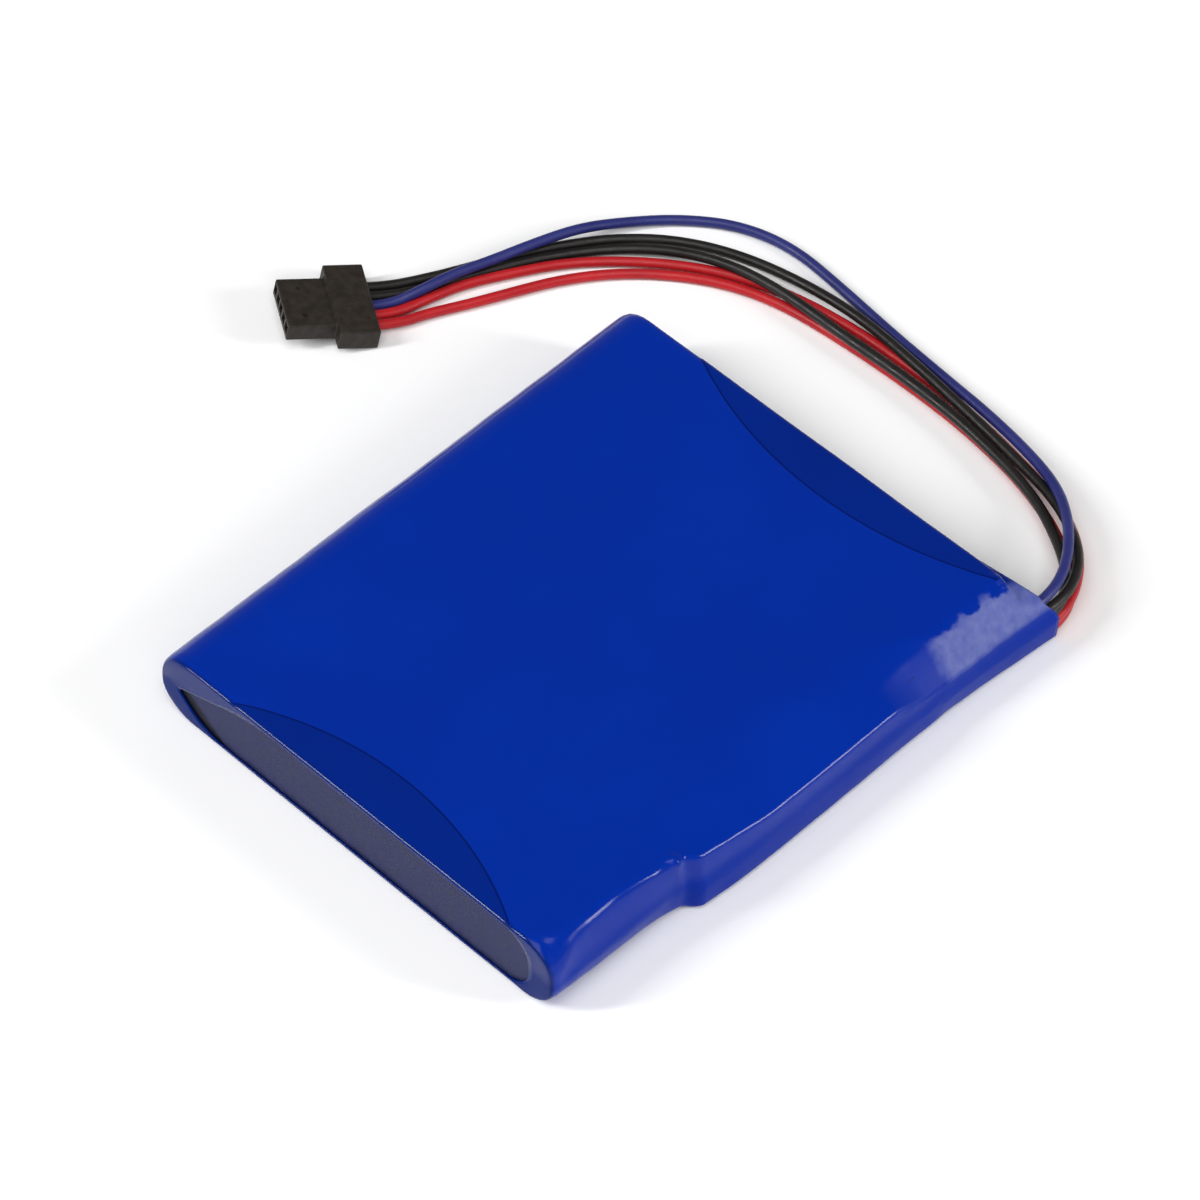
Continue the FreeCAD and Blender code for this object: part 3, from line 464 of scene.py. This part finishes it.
def ring(corners, low):
    """Closed outline across the sleeve, from the middle of the underside to the right and round.
    Each corner is (x, z, reach of its rounding); two roundings that meet share the side between them."""
    places = [Vector((0.0, low)), *[Vector(corner[:2]) for corner in corners], Vector((0.0, low))]
    wanted = [0.0, *[corner[2] for corner in corners], 0.0]
    arcs = []
    for index in range(1, len(places) - 1):
        reach = wanted[index]
        for beside in (index - 1, index + 1):
            side = (places[beside] - places[index]).length
            reach = min(reach, ROUNDING_SHARE * side * wanted[index] / (wanted[index] + wanted[beside]))
        arcs.append(rounded_corner(places[index - 1], places[index], places[index + 1], reach))
    points = [places[0]]
    for count, arc in zip(SIDE_STEPS, arcs):
        points += straight(points[-1], arc[0], count) + arc
    return points + straight(points[-1], points[0], BOTTOM_STEPS)


def body_ring(y):
    """Outline of the sleeve at y: the right side by its stations, the left side nearly a half circle."""
    left = [(-SLEEVE_HALF_WIDTH, level, reach)
            for level, reach in ((SLEEVE_TOP, SIDE_RADIUS), (SLEEVE_TOP / 2, 0.2 * MM), (0.0, SIDE_RADIUS))]
    return ring(right_side_at(y) + left, 0.0)


def opening_ring():
    """The opening in a folded end, with as many points as a ring of the body. Its left end is pointed."""
    middle = (OPENING_LOW + OPENING_HIGH) / 2
    corners = [
        (OPENING_RIGHT, OPENING_LOW, 3.6),
        (OPENING_RIGHT, middle, 0.3),
        (OPENING_RIGHT, OPENING_HIGH, 3.4),
        (OPENING_RIGHT - 6, OPENING_HIGH, 1.8),
        (-15.0, OPENING_HIGH, 4.0),
        (-OPENING_LEFT - 0.4, POINTED_END_LEVEL, 0.9),
        (-22.5, OPENING_LOW, 3.0),
    ]
    return ring([tuple(number * MM for number in corner) for corner in corners], OPENING_LOW * MM)


# Arcs where the wrap under the sleeve ends, as (middle x, crown y, radius, which end), in millimetres.
WRAP_ARCS = [(2.5, -28.6, 40.5, -1), (6.0, 28.8, 50.8, 1)]
WRAP_STEP = 0.1 * MM
WRAP_STEP_WIDTH = 0.25 * MM


def past_wrap(x, y):
    """0 over the wrap and 1 past its arc-shaped ends."""
    share = 0.0
    for across, crown, radius, end in WRAP_ARCS:
        depth = radius * MM - hypot(x - across * MM, y - (crown + end * radius) * MM)
        share = max(share, smooth(0.0, WRAP_STEP_WIDTH, depth))
    return share


# Creases of the film, all in millimetres: start (x, y, z), end (x, y, z), width, height. Each is a low
# ridge, or a furrow where its height is negative.
CREASES = [
    # pull marks where the bulge starts
    ((28.7, -17.9, 9.2), (27.5, -20.0, 9.6), 0.5, 0.12),
    ((29.2, -16.3, 8.7), (28.2, -16.5, 9.5), 0.6, -0.6),
    ((29.1, -16.0, 7.0), (29.1, -15.9, 1.5), 0.6, -0.2),
    ((29.5, -15.1, 8.8), (28.8, -15.0, 9.4), 0.35, 0.3),
    # fold at the corner of the flat top, and shallow furrows along the side below the crest
    ((26.4, 34.2, 9.6), (24.9, 32.2, 9.6), 0.4, 0.14),
    ((31.6, 34.0, 4.6), (31.1, 21.0, 4.3), 0.6, -0.08),
    ((31.0, 22.0, 4.6), (30.9, 19.0, 3.0), 0.6, -0.1),
    ((31.6, 33.0, 1.4), (31.0, 24.0, 1.2), 0.5, -0.05),
]
# Gathers that run down from the flat top to the crest over the last of the wires, as (y, how far in
# they reach, height), in millimetres.
GATHERS = [
    (21.4, 29.2, 0.05), (22.6, 28.6, -0.05), (24.0, 28.6, 0.05), (25.3, 28.0, -0.06), (26.8, 28.0, 0.05),
    (28.2, 27.4, -0.06), (29.6, 27.4, 0.06), (31.0, 26.8, -0.06), (32.3, 27.0, 0.05),
]
GATHER_SLANT = 1.6
GATHER_WIDTH = 0.55
CREASES += [
    ((31.0, y, 6.0), (inner, y + GATHER_SLANT, 9.4), GATHER_WIDTH, height)
    for y, inner, height in GATHERS
]


CREASE_REACH = 3                # in widths of the crease
CREASE_FADE = 0.6               # how much of its height a crease has lost at its end


def crease_height(point):
    """How far the creases lift the film at a point."""
    height = 0.0
    for start, end, width, rise in CREASES:
        first = Vector(start) * MM
        run = Vector(end) * MM - first
        share = min(1.0, max(0.0, (point - first).dot(run) / run.length_squared))
        away = (point - first - run * share).length / (width * MM)
        if away < CREASE_REACH:
            height += rise * MM * (1 - CREASE_FADE * share) * exp(-away * away)
    return height


WAVE_HEIGHT = 0.05 * MM
LONG_WAVE = 9 * MM
SHORT_WAVE = 3 * MM
SHORT_WAVE_OFFSET = Vector((3, 5, 7))


def film_wave(point):
    """The shallow unevenness of shrunk film, strongest along the sides."""
    side = smooth(20 * MM, 29 * MM, abs(point.x))
    slow = noise.noise(point / LONG_WAVE) * WAVE_HEIGHT
    quick = noise.noise(point / SHORT_WAVE + SHORT_WAVE_OFFSET) * WAVE_HEIGHT * side
    return slow + quick


def body_stations():
    """Stations along Y, close together where the film has arcs and creases."""
    stretches = [(-LAST_STATION, -27 * MM, 22), (-27 * MM, -20 * MM, 12), (-20 * MM, -13 * MM, 20),
                 (-13 * MM, 18 * MM, 34), (18 * MM, LAST_STATION, 46)]
    stations = []
    for start, end, count in stretches:
        stations += [blend(start, end, step / count) for step in range(count)]
    return stations + [LAST_STATION]


SNOUT_FROM = 28.2 * MM
SNOUT_FULLY = 30.8 * MM
SNOUT_TOP = 7.0 * MM
SNOUT_WIDENING = 0.5 * MM
MOUTH_SLANT = 1.6 * MM


def snout_share(point):
    """1 for the ring points that go on into the snout, 0 for those that fold over the end."""
    return smooth(SNOUT_FROM, SNOUT_FULLY, point.x)


def inward_directions(outline):
    """At each point of an outline that runs anticlockwise, the direction square to it and inwards."""
    directions = []
    for index, point in enumerate(outline):
        travel = outline[(index + 1) % len(outline)] - outline[index - 1]
        directions.append(Vector((-travel.y, travel.x)).normalized())
    return directions


def folded(body, inward, opening, step):
    """A ring point on its way over the end's rounded edge and in to the opening.
    It gives the distance past the last body ring, and the point across."""
    turn = min(1.0, step / FOLD_STEPS) * pi / 2
    bent = body + inward * FOLD_DEPTH * (1 - cos(turn))
    rim_share = max(0.0, (step - FOLD_STEPS) / RIM_STEPS)
    return FOLD_LENGTH * sin(turn), bent.lerp(opening, rim_share)


def snout_point(body, share):
    """A ring point on its way out along the snout, whose mouth leans back towards its top."""
    low_part = 1 - smooth(4.5 * MM, 7.4 * MM, body.y)
    across = body.x + SNOUT_WIDENING * share * low_part
    up = blend(body.y, min(body.y, SNOUT_TOP), smooth(0.0, 1.0, share))
    end = SNOUT_END - MOUTH_SLANT * smooth(3.5 * MM, 7.0 * MM, body.y)
    along = blend(LAST_STATION, end, share)
    return Vector((min(across, SNOUT_REACH), along, up))


def end_rows(body_ring_points, end):
    """Rings from the last one of the body to the opening. end is -1 for the near end and 1 for the far
    end, where part of each ring goes out along the snout instead."""
    outline = [Vector((point.x, point.z)) for point in body_ring_points]
    rows = []
    for step in range(1, FOLD_STEPS + RIM_STEPS + 1):
        row = []
        for body, inward, hole in zip(outline, inward_directions(outline), opening_ring()):
            along, across = folded(body, inward, hole, step)
            place = Vector((across.x, end * (LAST_STATION + along), across.y))
            if end > 0:
                share = step / (FOLD_STEPS + RIM_STEPS)
                place = place.lerp(snout_point(body, share), snout_share(body))
            row.append(place)
        rows.append(row)
    return rows


def sleeve_rows():
    """Every ring of the film, from the near opening to the far one."""
    body_rows = [[Vector((point.x, y, point.y)) for point in body_ring(y)] for y in body_stations()]
    return [*reversed(end_rows(body_rows[0], -1)), *body_rows, *end_rows(body_rows[-1], 1)]


def skin_rows(build, rows):
    """Join each ring to the next with faces."""
    grid = [[build.verts.new(point) for point in row] for row in rows]
    for row, following in zip(grid, grid[1:]):
        count = len(row)
        for index in range(count):
            ahead = (index + 1) % count
            build.faces.new((row[index], row[ahead], following[ahead], following[index]))


def film_lift(point):
    """How far the film stands out from its smooth shape at a point."""
    top = smooth(SLEEVE_TOP - 0.6 * MM, SLEEVE_TOP - 0.2 * MM, point.z)
    return crease_height(point) + film_wave(point) - WRAP_STEP * past_wrap(point.x, point.y) * top


def crumple(build):
    """Move the film by its creases and waves, and keep it inside the CAD sleeve's box."""
    build.normal_update()
    moves = [vertex.normal * film_lift(vertex.co) for vertex in build.verts]
    for vertex, move in zip(build.verts, moves):
        place = vertex.co + move
        vertex.co = (min(max(place.x, -SLEEVE_HALF_WIDTH), SNOUT_REACH),
                     min(max(place.y, -SLEEVE_HALF_LENGTH), SNOUT_END),
                     min(max(place.z, 0.0), SLEEVE_TOP))


def make_sleeve():
    """The shrunk film as one surface, given the film's thickness."""
    build = bmesh.new()
    skin_rows(build, sleeve_rows())
    crumple(build)
    film = add_object("shrink_film", finished_mesh(build, "shrink_film"), film_material())
    thickness = film.modifiers.new("film", "SOLIDIFY")
    thickness.thickness = FILM
    thickness.offset = -1
    apply_modifiers(film)
    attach(film, "root")
    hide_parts("outer_sleeve")


PANEL_LOW = 0.45 * MM
PANEL_HIGH = 9.15 * MM
PANEL_HALF_WIDTH = 26.9 * MM
PANEL_ROUNDING = 3.0 * MM


def make_near_panel():
    """Sheet of fibre paper that closes the opening of the near end, seen inside the folded film."""
    middle = (PANEL_LOW + PANEL_HIGH) / 2
    right = [
        (PANEL_HALF_WIDTH, PANEL_LOW, PANEL_ROUNDING),
        (PANEL_HALF_WIDTH, middle, 0.3 * MM),
        (PANEL_HALF_WIDTH, PANEL_HIGH, PANEL_ROUNDING),
    ]
    left = [(-across, up, reach) for across, up, reach in reversed(right)]
    outline = ring([*right, (20 * MM, PANEL_HIGH, MM), *left], PANEL_LOW)
    panel_low, panel_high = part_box("near_end_insulator")
    build = bmesh.new()
    outline_prism(build, outline, panel_low.y, panel_high.y)
    for vertex in build.verts:
        vertex.co = vertex.co.xzy
    # The near sheet gets a painted shadow in its lower left corner.
    panel = add_object("end_sheet", finished_mesh(build, "end_sheet"),
                       paper_material("near_end_paper", shadowed=True), smooth_faces=False)
    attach(panel, "root")
    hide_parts("near_end_insulator")


# Colours of the film. Where there are two, the film varies between them.
FILM_OVER_WRAP = ((0.0, 0.019, 0.262), (0.0, 0.022, 0.29))
FILM_PAST_WRAP = ((0.0, 0.013, 0.18), (0.0, 0.016, 0.205))
# Painted shadow: the thin dark line along the step where the wrap ends under the film.
FILM_STEP_SHADOW = (0.0, 0.007, 0.10)
# Whitish painted reflection on the slope over the wires.
FILM_REFLECTION_PAINT = (0.12, 0.145, 0.37)
FILM_END_FACE = (0.0, 0.012, 0.13)
FILM_GLOSS = (0.13, 0.18)
FILM_SHINE = (0.05, 0.16)
SLOPE_MATTNESS = 0.35
# How strongly noise breaks up the painted reflection.
REFLECTION_BREAKUP_STRENGTH = (0.55, 0.95)

# Where the look of the film changes, in millimetres: each is a span along x, y or z, or across the step.
ARCS_END_SPAN = (27.3, 28.0)
STEP_SPAN = (0.0, 0.3)
# Where the painted shadow line along the step lies, and how wide it is.
STEP_SHADOW_LINE = 0.1
STEP_SHADOW_SPAN = (0.05, 0.16)
BELOW_TOP_SPAN = (9.35, 9.0)
ABOVE_CREST_SPAN = (5.3, 6.0)
PAST_BOARD_SPAN = (21.4, 23.4)
ON_WIRES_SPAN = (27.2, 28.2)
END_FACE_SPAN = (-33.8, -34.15)
MATT_SPAN = (14, 16)
SHINE_SPAN = (4.6, 6.2)


def distance_past_wrap(paint, x, y):
    """How far a point is past the wrap's arcs, and below 0 beside the snout, where they don't show."""
    beyond = None
    for across, crown, radius, end in WRAP_ARCS:
        from_x = paint.math("SUBTRACT", x, across * MM)
        from_y = paint.math("SUBTRACT", y, (crown + end * radius) * MM)
        squared = paint.math("ADD", paint.math("POWER", from_x, 2), paint.math("POWER", from_y, 2))
        depth = paint.math("SUBTRACT", radius * MM, paint.math("SQRT", squared))
        beyond = depth if beyond is None else paint.math("MAXIMUM", beyond, depth)
    return paint.math("SUBTRACT", beyond, paint.over(x, ARCS_END_SPAN, 0.0, 5 * MM))


def film_over_cell(paint, x, y):
    """Blue that is deeper past the wrap below it, with a thin painted shadow line along the step."""
    beyond = distance_past_wrap(paint, x, y)
    mottle = paint.noise(14 * MM, detail=4)
    base = paint.ramp(mottle, zip(NOISE_RANGE, FILM_OVER_WRAP))
    deep = paint.ramp(mottle, zip(NOISE_RANGE, FILM_PAST_WRAP))
    shade = paint.mix(paint.over(beyond, STEP_SPAN), base, deep)
    # Painted shadow line along the step.
    from_shadow_line = paint.math("ABSOLUTE", paint.math("SUBTRACT", beyond, STEP_SHADOW_LINE * MM))
    return paint.mix(paint.over(from_shadow_line, STEP_SHADOW_SPAN, 1.0, 0.0), shade, FILM_STEP_SHADOW)


def film_material():
    """Glossy blue film with a whitish painted reflection on the slope over the wires, and duller all over
    that slope.
    """
    paint = Paint("blue_shrink_film", roughness=0.15, specular=0.16)
    x, y, z = paint.coordinates()
    unevenness = paint.math("SUBTRACT", paint.noise(2.4 * MM, detail=3), 0.5)
    fingers = paint.math("MULTIPLY", unevenness, 3 * MM)
    below_top = paint.over(paint.math("ADD", z, fingers), BELOW_TOP_SPAN)
    past_board = paint.over(paint.math("ADD", y, fingers), PAST_BOARD_SPAN)
    slope = paint.product(below_top, paint.over(z, ABOVE_CREST_SPAN), paint.over(x, ON_WIRES_SPAN))
    # Painted reflection: a whitish patch on the slope over the wires, past the board, broken up by noise.
    reflection_area = paint.product(slope, past_board)
    reflection_breakup = paint.fit(paint.noise(1.1 * MM, detail=5), *NOISE_RANGE, *REFLECTION_BREAKUP_STRENGTH)
    with_reflection = paint.mix(paint.product(reflection_area, reflection_breakup), film_over_cell(paint, x, y), FILM_REFLECTION_PAINT)
    paint.colour(paint.mix(paint.over(y, END_FACE_SPAN), with_reflection, FILM_END_FACE))
    gloss = paint.fit(paint.noise(3 * MM, detail=5), *NOISE_RANGE, *FILM_GLOSS)
    matt = paint.product(slope, paint.over(y, MATT_SPAN, 0.0, SLOPE_MATTNESS))
    paint.links.new(paint.math("ADD", gloss, matt), paint.shader.inputs["Roughness"])
    paint.links.new(paint.over(z, SHINE_SPAN, *FILM_SHINE), paint.shader.inputs["Specular IOR Level"])
    paint.bump(paint.noise(2.2 * MM, detail=2), 0.02 * MM)
    paint.bump(paint.noise(0.35 * MM, detail=2), 0.003 * MM)
    return paint.material


# ---------------------------------------------------------------- connector

FLANGE_DEPTH = 4.4 * MM
FLANGE_WIDTH = 10.6 * MM
FLANGE_HEIGHT = 2.6 * MM
NOSE_DEPTH = 5.8 * MM
NOSE_WIDTH = 7.4 * MM
NOSE_HEIGHT = 2.2 * MM
FLANGE_OVERLAP = 0.2 * MM
CHAMBER_WIDTH = 1.05 * MM
CHAMBER_HEIGHT = 1.2 * MM
CHAMBER_BACK = -1.2 * MM
WIRE_HOLE_RADIUS = 0.66 * MM
WIRE_HOLE_DEPTH = 3.2 * MM
DIMPLE_ROWS = (2.1 * MM, -2.0 * MM)
DIMPLE_FROM_FRONT = 2.2 * MM
DIMPLE_FLOOR_RADIUS = 0.25 * MM
DIMPLE_TOP_RADIUS = 0.36 * MM
DIMPLE_DEPTH = 0.36 * MM
EDGE_ROUND = 0.22 * MM
CONNECTOR_FRONT = -(FLANGE_DEPTH + NOSE_DEPTH)


def box_mesh(build, low, high):
    """A closed box between two corners, added to a bmesh."""
    low = Vector(low)
    high = Vector(high)
    for vertex in bmesh.ops.create_cube(build, size=1.0)["verts"]:
        vertex.co = Vector([blend(low[axis], high[axis], vertex.co[axis] + 0.5) for axis in range(3)])


def outline_prism(build, outline, low, high):
    """A closed prism over an outline of (x, y) points, from low to high in z."""
    floor = [build.verts.new((x, y, low)) for x, y in outline]
    roof = [build.verts.new((x, y, high)) for x, y in outline]
    build.faces.new(list(reversed(floor)))
    build.faces.new(roof)
    count = len(outline)
    for index in range(count):
        ahead = (index + 1) % count
        build.faces.new((floor[index], floor[ahead], roof[ahead], roof[index]))


def combine(thing, operation, tool_build, name):
    """Join the closed shapes of a bmesh to an object, or cut them out of it."""
    mesh = finished_mesh(tool_build, name)
    tool = add_object(name, mesh)
    combiner = thing.modifiers.new(name, "BOOLEAN")
    combiner.operation = operation
    combiner.solver = "EXACT"
    combiner.object = tool
    apply_modifiers(thing)
    bpy.data.objects.remove(tool)
    bpy.data.meshes.remove(mesh)


def rounded_housing():
    """The narrow nose with the wide flange behind it, as one solid with rounded edges."""
    half_nose = NOSE_WIDTH / 2
    half_flange = FLANGE_WIDTH / 2
    outline = [(CONNECTOR_FRONT, -half_nose), (-FLANGE_DEPTH, -half_nose), (-FLANGE_DEPTH, half_nose),
               (CONNECTOR_FRONT, half_nose)]
    nose = bmesh.new()
    outline_prism(nose, outline, 0, NOSE_HEIGHT)
    housing = add_object("connector_body", finished_mesh(nose, "connector_body"), connector_material(),
                         smooth_faces=False)
    flange = bmesh.new()
    box_mesh(flange, (-FLANGE_DEPTH - FLANGE_OVERLAP, -half_flange, 0), (0, half_flange, FLANGE_HEIGHT))
    combine(housing, "UNION", flange, "flange")
    rounding = housing.modifiers.new("edges", "BEVEL")
    rounding.width = EDGE_ROUND
    rounding.segments = 3
    rounding.limit_method = "ANGLE"
    apply_modifiers(housing)
    return housing


def cut_chambers(housing):
    """The openings in the nose for the contacts."""
    chambers = bmesh.new()
    for row in CONTACT_ROWS:
        low = (CONNECTOR_FRONT - MM, row - CHAMBER_WIDTH / 2, CONTACT_LEVEL - CHAMBER_HEIGHT / 2)
        high = (CHAMBER_BACK, row + CHAMBER_WIDTH / 2, CONTACT_LEVEL + CHAMBER_HEIGHT / 2)
        box_mesh(chambers, low, high)
    combine(housing, "DIFFERENCE", chambers, "chambers")


def cut_wire_holes(housing):
    """The round holes in the back of the flange."""
    holes = bmesh.new()
    for row in CONTACT_ROWS:
        turn = Matrix.Translation((0, row, CONTACT_LEVEL)) @ Matrix.Rotation(pi / 2, 4, "Y")
        bmesh.ops.create_cone(holes, cap_ends=True, segments=24, radius1=WIRE_HOLE_RADIUS,
                              radius2=WIRE_HOLE_RADIUS, depth=WIRE_HOLE_DEPTH, matrix=turn)
    combine(housing, "DIFFERENCE", holes, "wire_entries")


def cut_dimples(housing):
    """The two small marks that moulding leaves on top of the nose."""
    dimples = bmesh.new()
    for row in DIMPLE_ROWS:
        spot = Matrix.Translation((CONNECTOR_FRONT + DIMPLE_FROM_FRONT, row, NOSE_HEIGHT))
        bmesh.ops.create_cone(dimples, cap_ends=True, segments=20, radius1=DIMPLE_FLOOR_RADIUS,
                              radius2=DIMPLE_TOP_RADIUS, depth=DIMPLE_DEPTH, matrix=spot)
    combine(housing, "DIFFERENCE", dimples, "dimples")


def make_connector():
    """T-shaped housing with five contact chambers, wire holes and two dimples."""
    housing = rounded_housing()
    cut_chambers(housing)
    cut_wire_holes(housing)
    cut_dimples(housing)
    housing.data.transform(CONNECTOR_PLACE)
    for face in housing.data.polygons:
        face.use_smooth = False
    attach(housing, "root")
    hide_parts("connector_housing")


def connector_material():
    return moulded("black_nylon", (0.015, 0.011, 0.008), (0.026, 0.020, 0.014), 0.5, 0.12 * MM, 0.006 * MM,
                   specular=0.28)


# ---------------------------------------------------------------- materials of the other CAD parts

# The painted shadow lies along the lower left edge of the opening, where the folded film shades the sheet:
# the direction square to that edge in x and z, and the span in millimetres from the edge over which the
# painted shadow ends.
SHADOW_DIRECTION = (0.63, 0.78)
SHADOW_SPAN = (0.7, 1.2)


def paper_material(name, shadowed):
    """Dark fibre paper with a blotchy, slightly fuzzy face. A shadowed sheet has a near black painted shadow
    in its lower left corner, where the folded film shades it."""
    paint = Paint(name, roughness=0.6, specular=0.2)
    blotch = paint.noise(1.2 * MM, detail=6, roughness=0.65)
    shade = paint.ramp(blotch, [(0.3, (0.010, 0.014, 0.058)), (0.7, (0.026, 0.030, 0.10))])
    if shadowed:
        x, _, z = paint.coordinates()
        across = paint.math("MULTIPLY", paint.math("ADD", x, OPENING_LEFT * MM), SHADOW_DIRECTION[0])
        up = paint.math("MULTIPLY", paint.math("SUBTRACT", z, POINTED_END_LEVEL * MM), SHADOW_DIRECTION[1])
        # Painted shadow: near black along the lower left edge of the opening, where the folded film shades
        # the sheet.
        painted_shadow = paint.over(paint.math("ADD", across, up), SHADOW_SPAN, 1.0, 0.0)
        shade = paint.mix(painted_shadow, shade, (0.004, 0.004, 0.012))
    paint.colour(shade)
    paint.roughness(blotch, 0.45, 0.65)
    paint.bump(paint.noise(0.5 * MM, detail=5), 0.03 * MM)
    return paint.material


def metal_material(name, dark, light, roughness, grain_direction):
    """Rolled metal with fine lines along the direction in which it was rolled."""
    paint = Paint(name, roughness=roughness, metallic=1.0)
    lines = paint.noise(0.4 * MM, detail=4, stretch=grain_direction)
    paint.colour(paint.ramp(lines, [(0.3, dark), (0.7, light)]))
    paint.roughness(lines, roughness * 0.8, roughness * 1.2)
    paint.bump(lines, 0.005 * MM)
    return paint.material


def pouch_material():
    """Aluminium laminate with its fine pressed texture."""
    paint = Paint("pouch_laminate", roughness=0.35, metallic=0.9)
    pressed = paint.cells(0.5 * MM)
    paint.colour(paint.ramp(paint.noise(6 * MM), [(0.3, (0.5, 0.5, 0.52)), (0.7, (0.62, 0.62, 0.64))]))
    paint.bump(pressed, 0.03 * MM)
    return paint.material


def roll_material():
    """Edges of the wound foils."""
    paint = Paint("electrode_foils", roughness=0.6)
    layers = paint.bands(0.3 * MM, "Z", 0.5)
    paint.colour(paint.ramp(layers, [(0.2, (0.03, 0.03, 0.035)), (0.8, (0.16, 0.13, 0.11))]))
    paint.bump(layers, 0.02 * MM)
    return paint.material


def board_material():
    """Green solder mask over glass cloth."""
    paint = Paint("solder_mask", roughness=0.3)
    paint.colour(paint.ramp(paint.noise(1.5 * MM), [(0.3, (0.008, 0.07, 0.03)), (0.7, (0.015, 0.11, 0.05))]))
    paint.bump(paint.bands(0.5 * MM, "Y"), 0.004 * MM)
    return paint.material


def make_cad_materials():
    """Give every CAD node that shows as it is a material of its own kind."""
    paper = paper_material("insulating_paper", shadowed=False)
    nickel = metal_material("nickel_strip", (0.48, 0.45, 0.4), (0.6, 0.57, 0.52), 0.3, (1, 0.08, 1))
    aluminium = metal_material("tab_aluminium", (0.68, 0.68, 0.69), (0.78, 0.78, 0.8), 0.3, (1, 0.08, 1))
    solder = metal_material("solder", (0.55, 0.55, 0.56), (0.72, 0.72, 0.73), 0.22, (1, 1, 1))
    contact = metal_material("tinned_bronze", (0.55, 0.54, 0.5), (0.68, 0.67, 0.63), 0.3, (1, 1, 1))
    wrap = moulded("wrap_film", (0.01, 0.03, 0.3), (0.015, 0.045, 0.36), 0.25, 2 * MM, 0.01 * MM)
    seal = moulded("seal_film", (0.6, 0.56, 0.45), (0.72, 0.68, 0.56), 0.35, MM, 0.01 * MM)
    tape = moulded("amber_tape", (0.42, 0.17, 0.015), (0.55, 0.25, 0.03), 0.25, 1.5 * MM, 0.008 * MM)
    fuse = moulded("fuse_body", (0.05, 0.045, 0.03), (0.09, 0.08, 0.05), 0.4, 0.3 * MM, 0.006 * MM)
    package = moulded("moulded_epoxy", (0.012, 0.012, 0.013), (0.02, 0.02, 0.022), 0.45, 0.1 * MM,
                      0.004 * MM)
    ceramic = moulded("chip_ceramic", (0.32, 0.22, 0.13), (0.42, 0.3, 0.18), 0.4, 0.1 * MM, 0.003 * MM)
    pouch = pouch_material()
    materials = {
        "inner_wrap": wrap,
        "upper_pouch_half": pouch,
        "lower_pouch_half": pouch,
        "electrode_roll": roll_material(),
        "positive_tab": aluminium,
        "negative_tab": nickel,
        "tab_sealing_films": seal,
        "tab_insulation_tape": tape,
        "far_end_insulator": paper,
        "side_insulator": paper,
        "positive_strip": nickel,
        "negative_strip": nickel,
        "protection_board": board_material(),
        "protection_ic": package,
        "power_mosfets": package,
        "chip_resistors": package,
        "resettable_fuse": fuse,
        "thermistor": ceramic,
        "chip_capacitors": ceramic,
        "solder_joints": solder,
        **{name: contact for name in CONTACTS},
    }
    for name, material in materials.items():
        mesh = NODES[name].data
        mesh.materials.clear()
        mesh.materials.append(material)


# ---------------------------------------------------------------- floor and light

FLOOR_REACH = 3.0
FLOOR_DROP = 0.05 * MM


def make_floor():
    mesh = bpy.data.meshes.new("floor")
    build = bmesh.new()
    corners = [(-1, -1), (1, -1), (1, 1), (-1, 1)]
    build.faces.new([build.verts.new((x * FLOOR_REACH, y * FLOOR_REACH, -FLOOR_DROP)) for x, y in corners])
    build.to_mesh(mesh)
    build.free()
    paint = Paint("pale_floor", roughness=0.8, specular=0.2)
    paint.colour(paint.ramp(paint.noise(0.4), [(0.3, (0.91, 0.91, 0.91)), (0.7, (0.93, 0.93, 0.93))]))
    add_object("floor", mesh, paint.material)


# Name, direction from the pack, distance, width and height in metres, power in watts. The last two are
# tall and narrow, and their reflections draw the bright lines along the folded edges.
SOFTBOXES = [
    ("overhead", (0.2, -0.3, 0.93), 1.2, 0.8, 0.8, 7.0),
    ("camera_side", (0.5, -0.5, 0.6), 1.4, 0.8, 0.8, 3.0),
    ("behind_right", (0.8, 0.453, 0.4), 1.2, 0.16, 0.5, 6.5),
    ("front_left", (-0.4475, -0.64, 0.626), 1.2, 0.13, 0.6, 8.0),
]
SKY_AT_HORIZON = 0.45
SKY_ABOVE = 0.14
SKY_CHANGE_ENDS = 0.7           # how steep a direction is, as a sine, when the sky reaches SKY_ABOVE


def make_softbox(name, direction, distance, width, height, power):
    """A rectangular area light that points at the middle of the pack."""
    light = bpy.data.lights.new(name, "AREA")
    light.shape = "RECTANGLE"
    light.size = width
    light.size_y = height
    light.energy = power
    lamp = bpy.data.objects.new(name, light)
    bpy.context.scene.collection.objects.link(lamp)
    toward = Vector(direction).normalized()
    lamp.location = toward * distance
    lamp.rotation_euler = (-toward).to_track_quat("-Z", "Y").to_euler()


def make_light():
    """Four softboxes, and a sky that is brighter near the horizon than overhead."""
    world = bpy.data.worlds.new("studio")
    world.use_nodes = True
    nodes = world.node_tree.nodes
    links = world.node_tree.links
    place = nodes.new("ShaderNodeSeparateXYZ")
    links.new(nodes.new("ShaderNodeTexCoord").outputs["Generated"], place.inputs["Vector"])
    sky = nodes.new("ShaderNodeMapRange")
    sky.inputs["From Max"].default_value = SKY_CHANGE_ENDS
    sky.inputs["To Min"].default_value = SKY_AT_HORIZON
    sky.inputs["To Max"].default_value = SKY_ABOVE
    links.new(place.outputs["Z"], sky.inputs["Value"])
    links.new(sky.outputs["Result"], nodes["Background"].inputs["Strength"])
    nodes["Background"].inputs["Color"].default_value = (1, 1, 1, 1)
    bpy.context.scene.world = world
    bpy.context.scene.view_settings.view_transform = "Standard"
    for softbox in SOFTBOXES:
        make_softbox(*softbox)


# ---------------------------------------------------------------- the scene

make_connector()
make_wires()
make_sleeve()
make_near_panel()
make_cad_materials()
make_floor()
make_light()
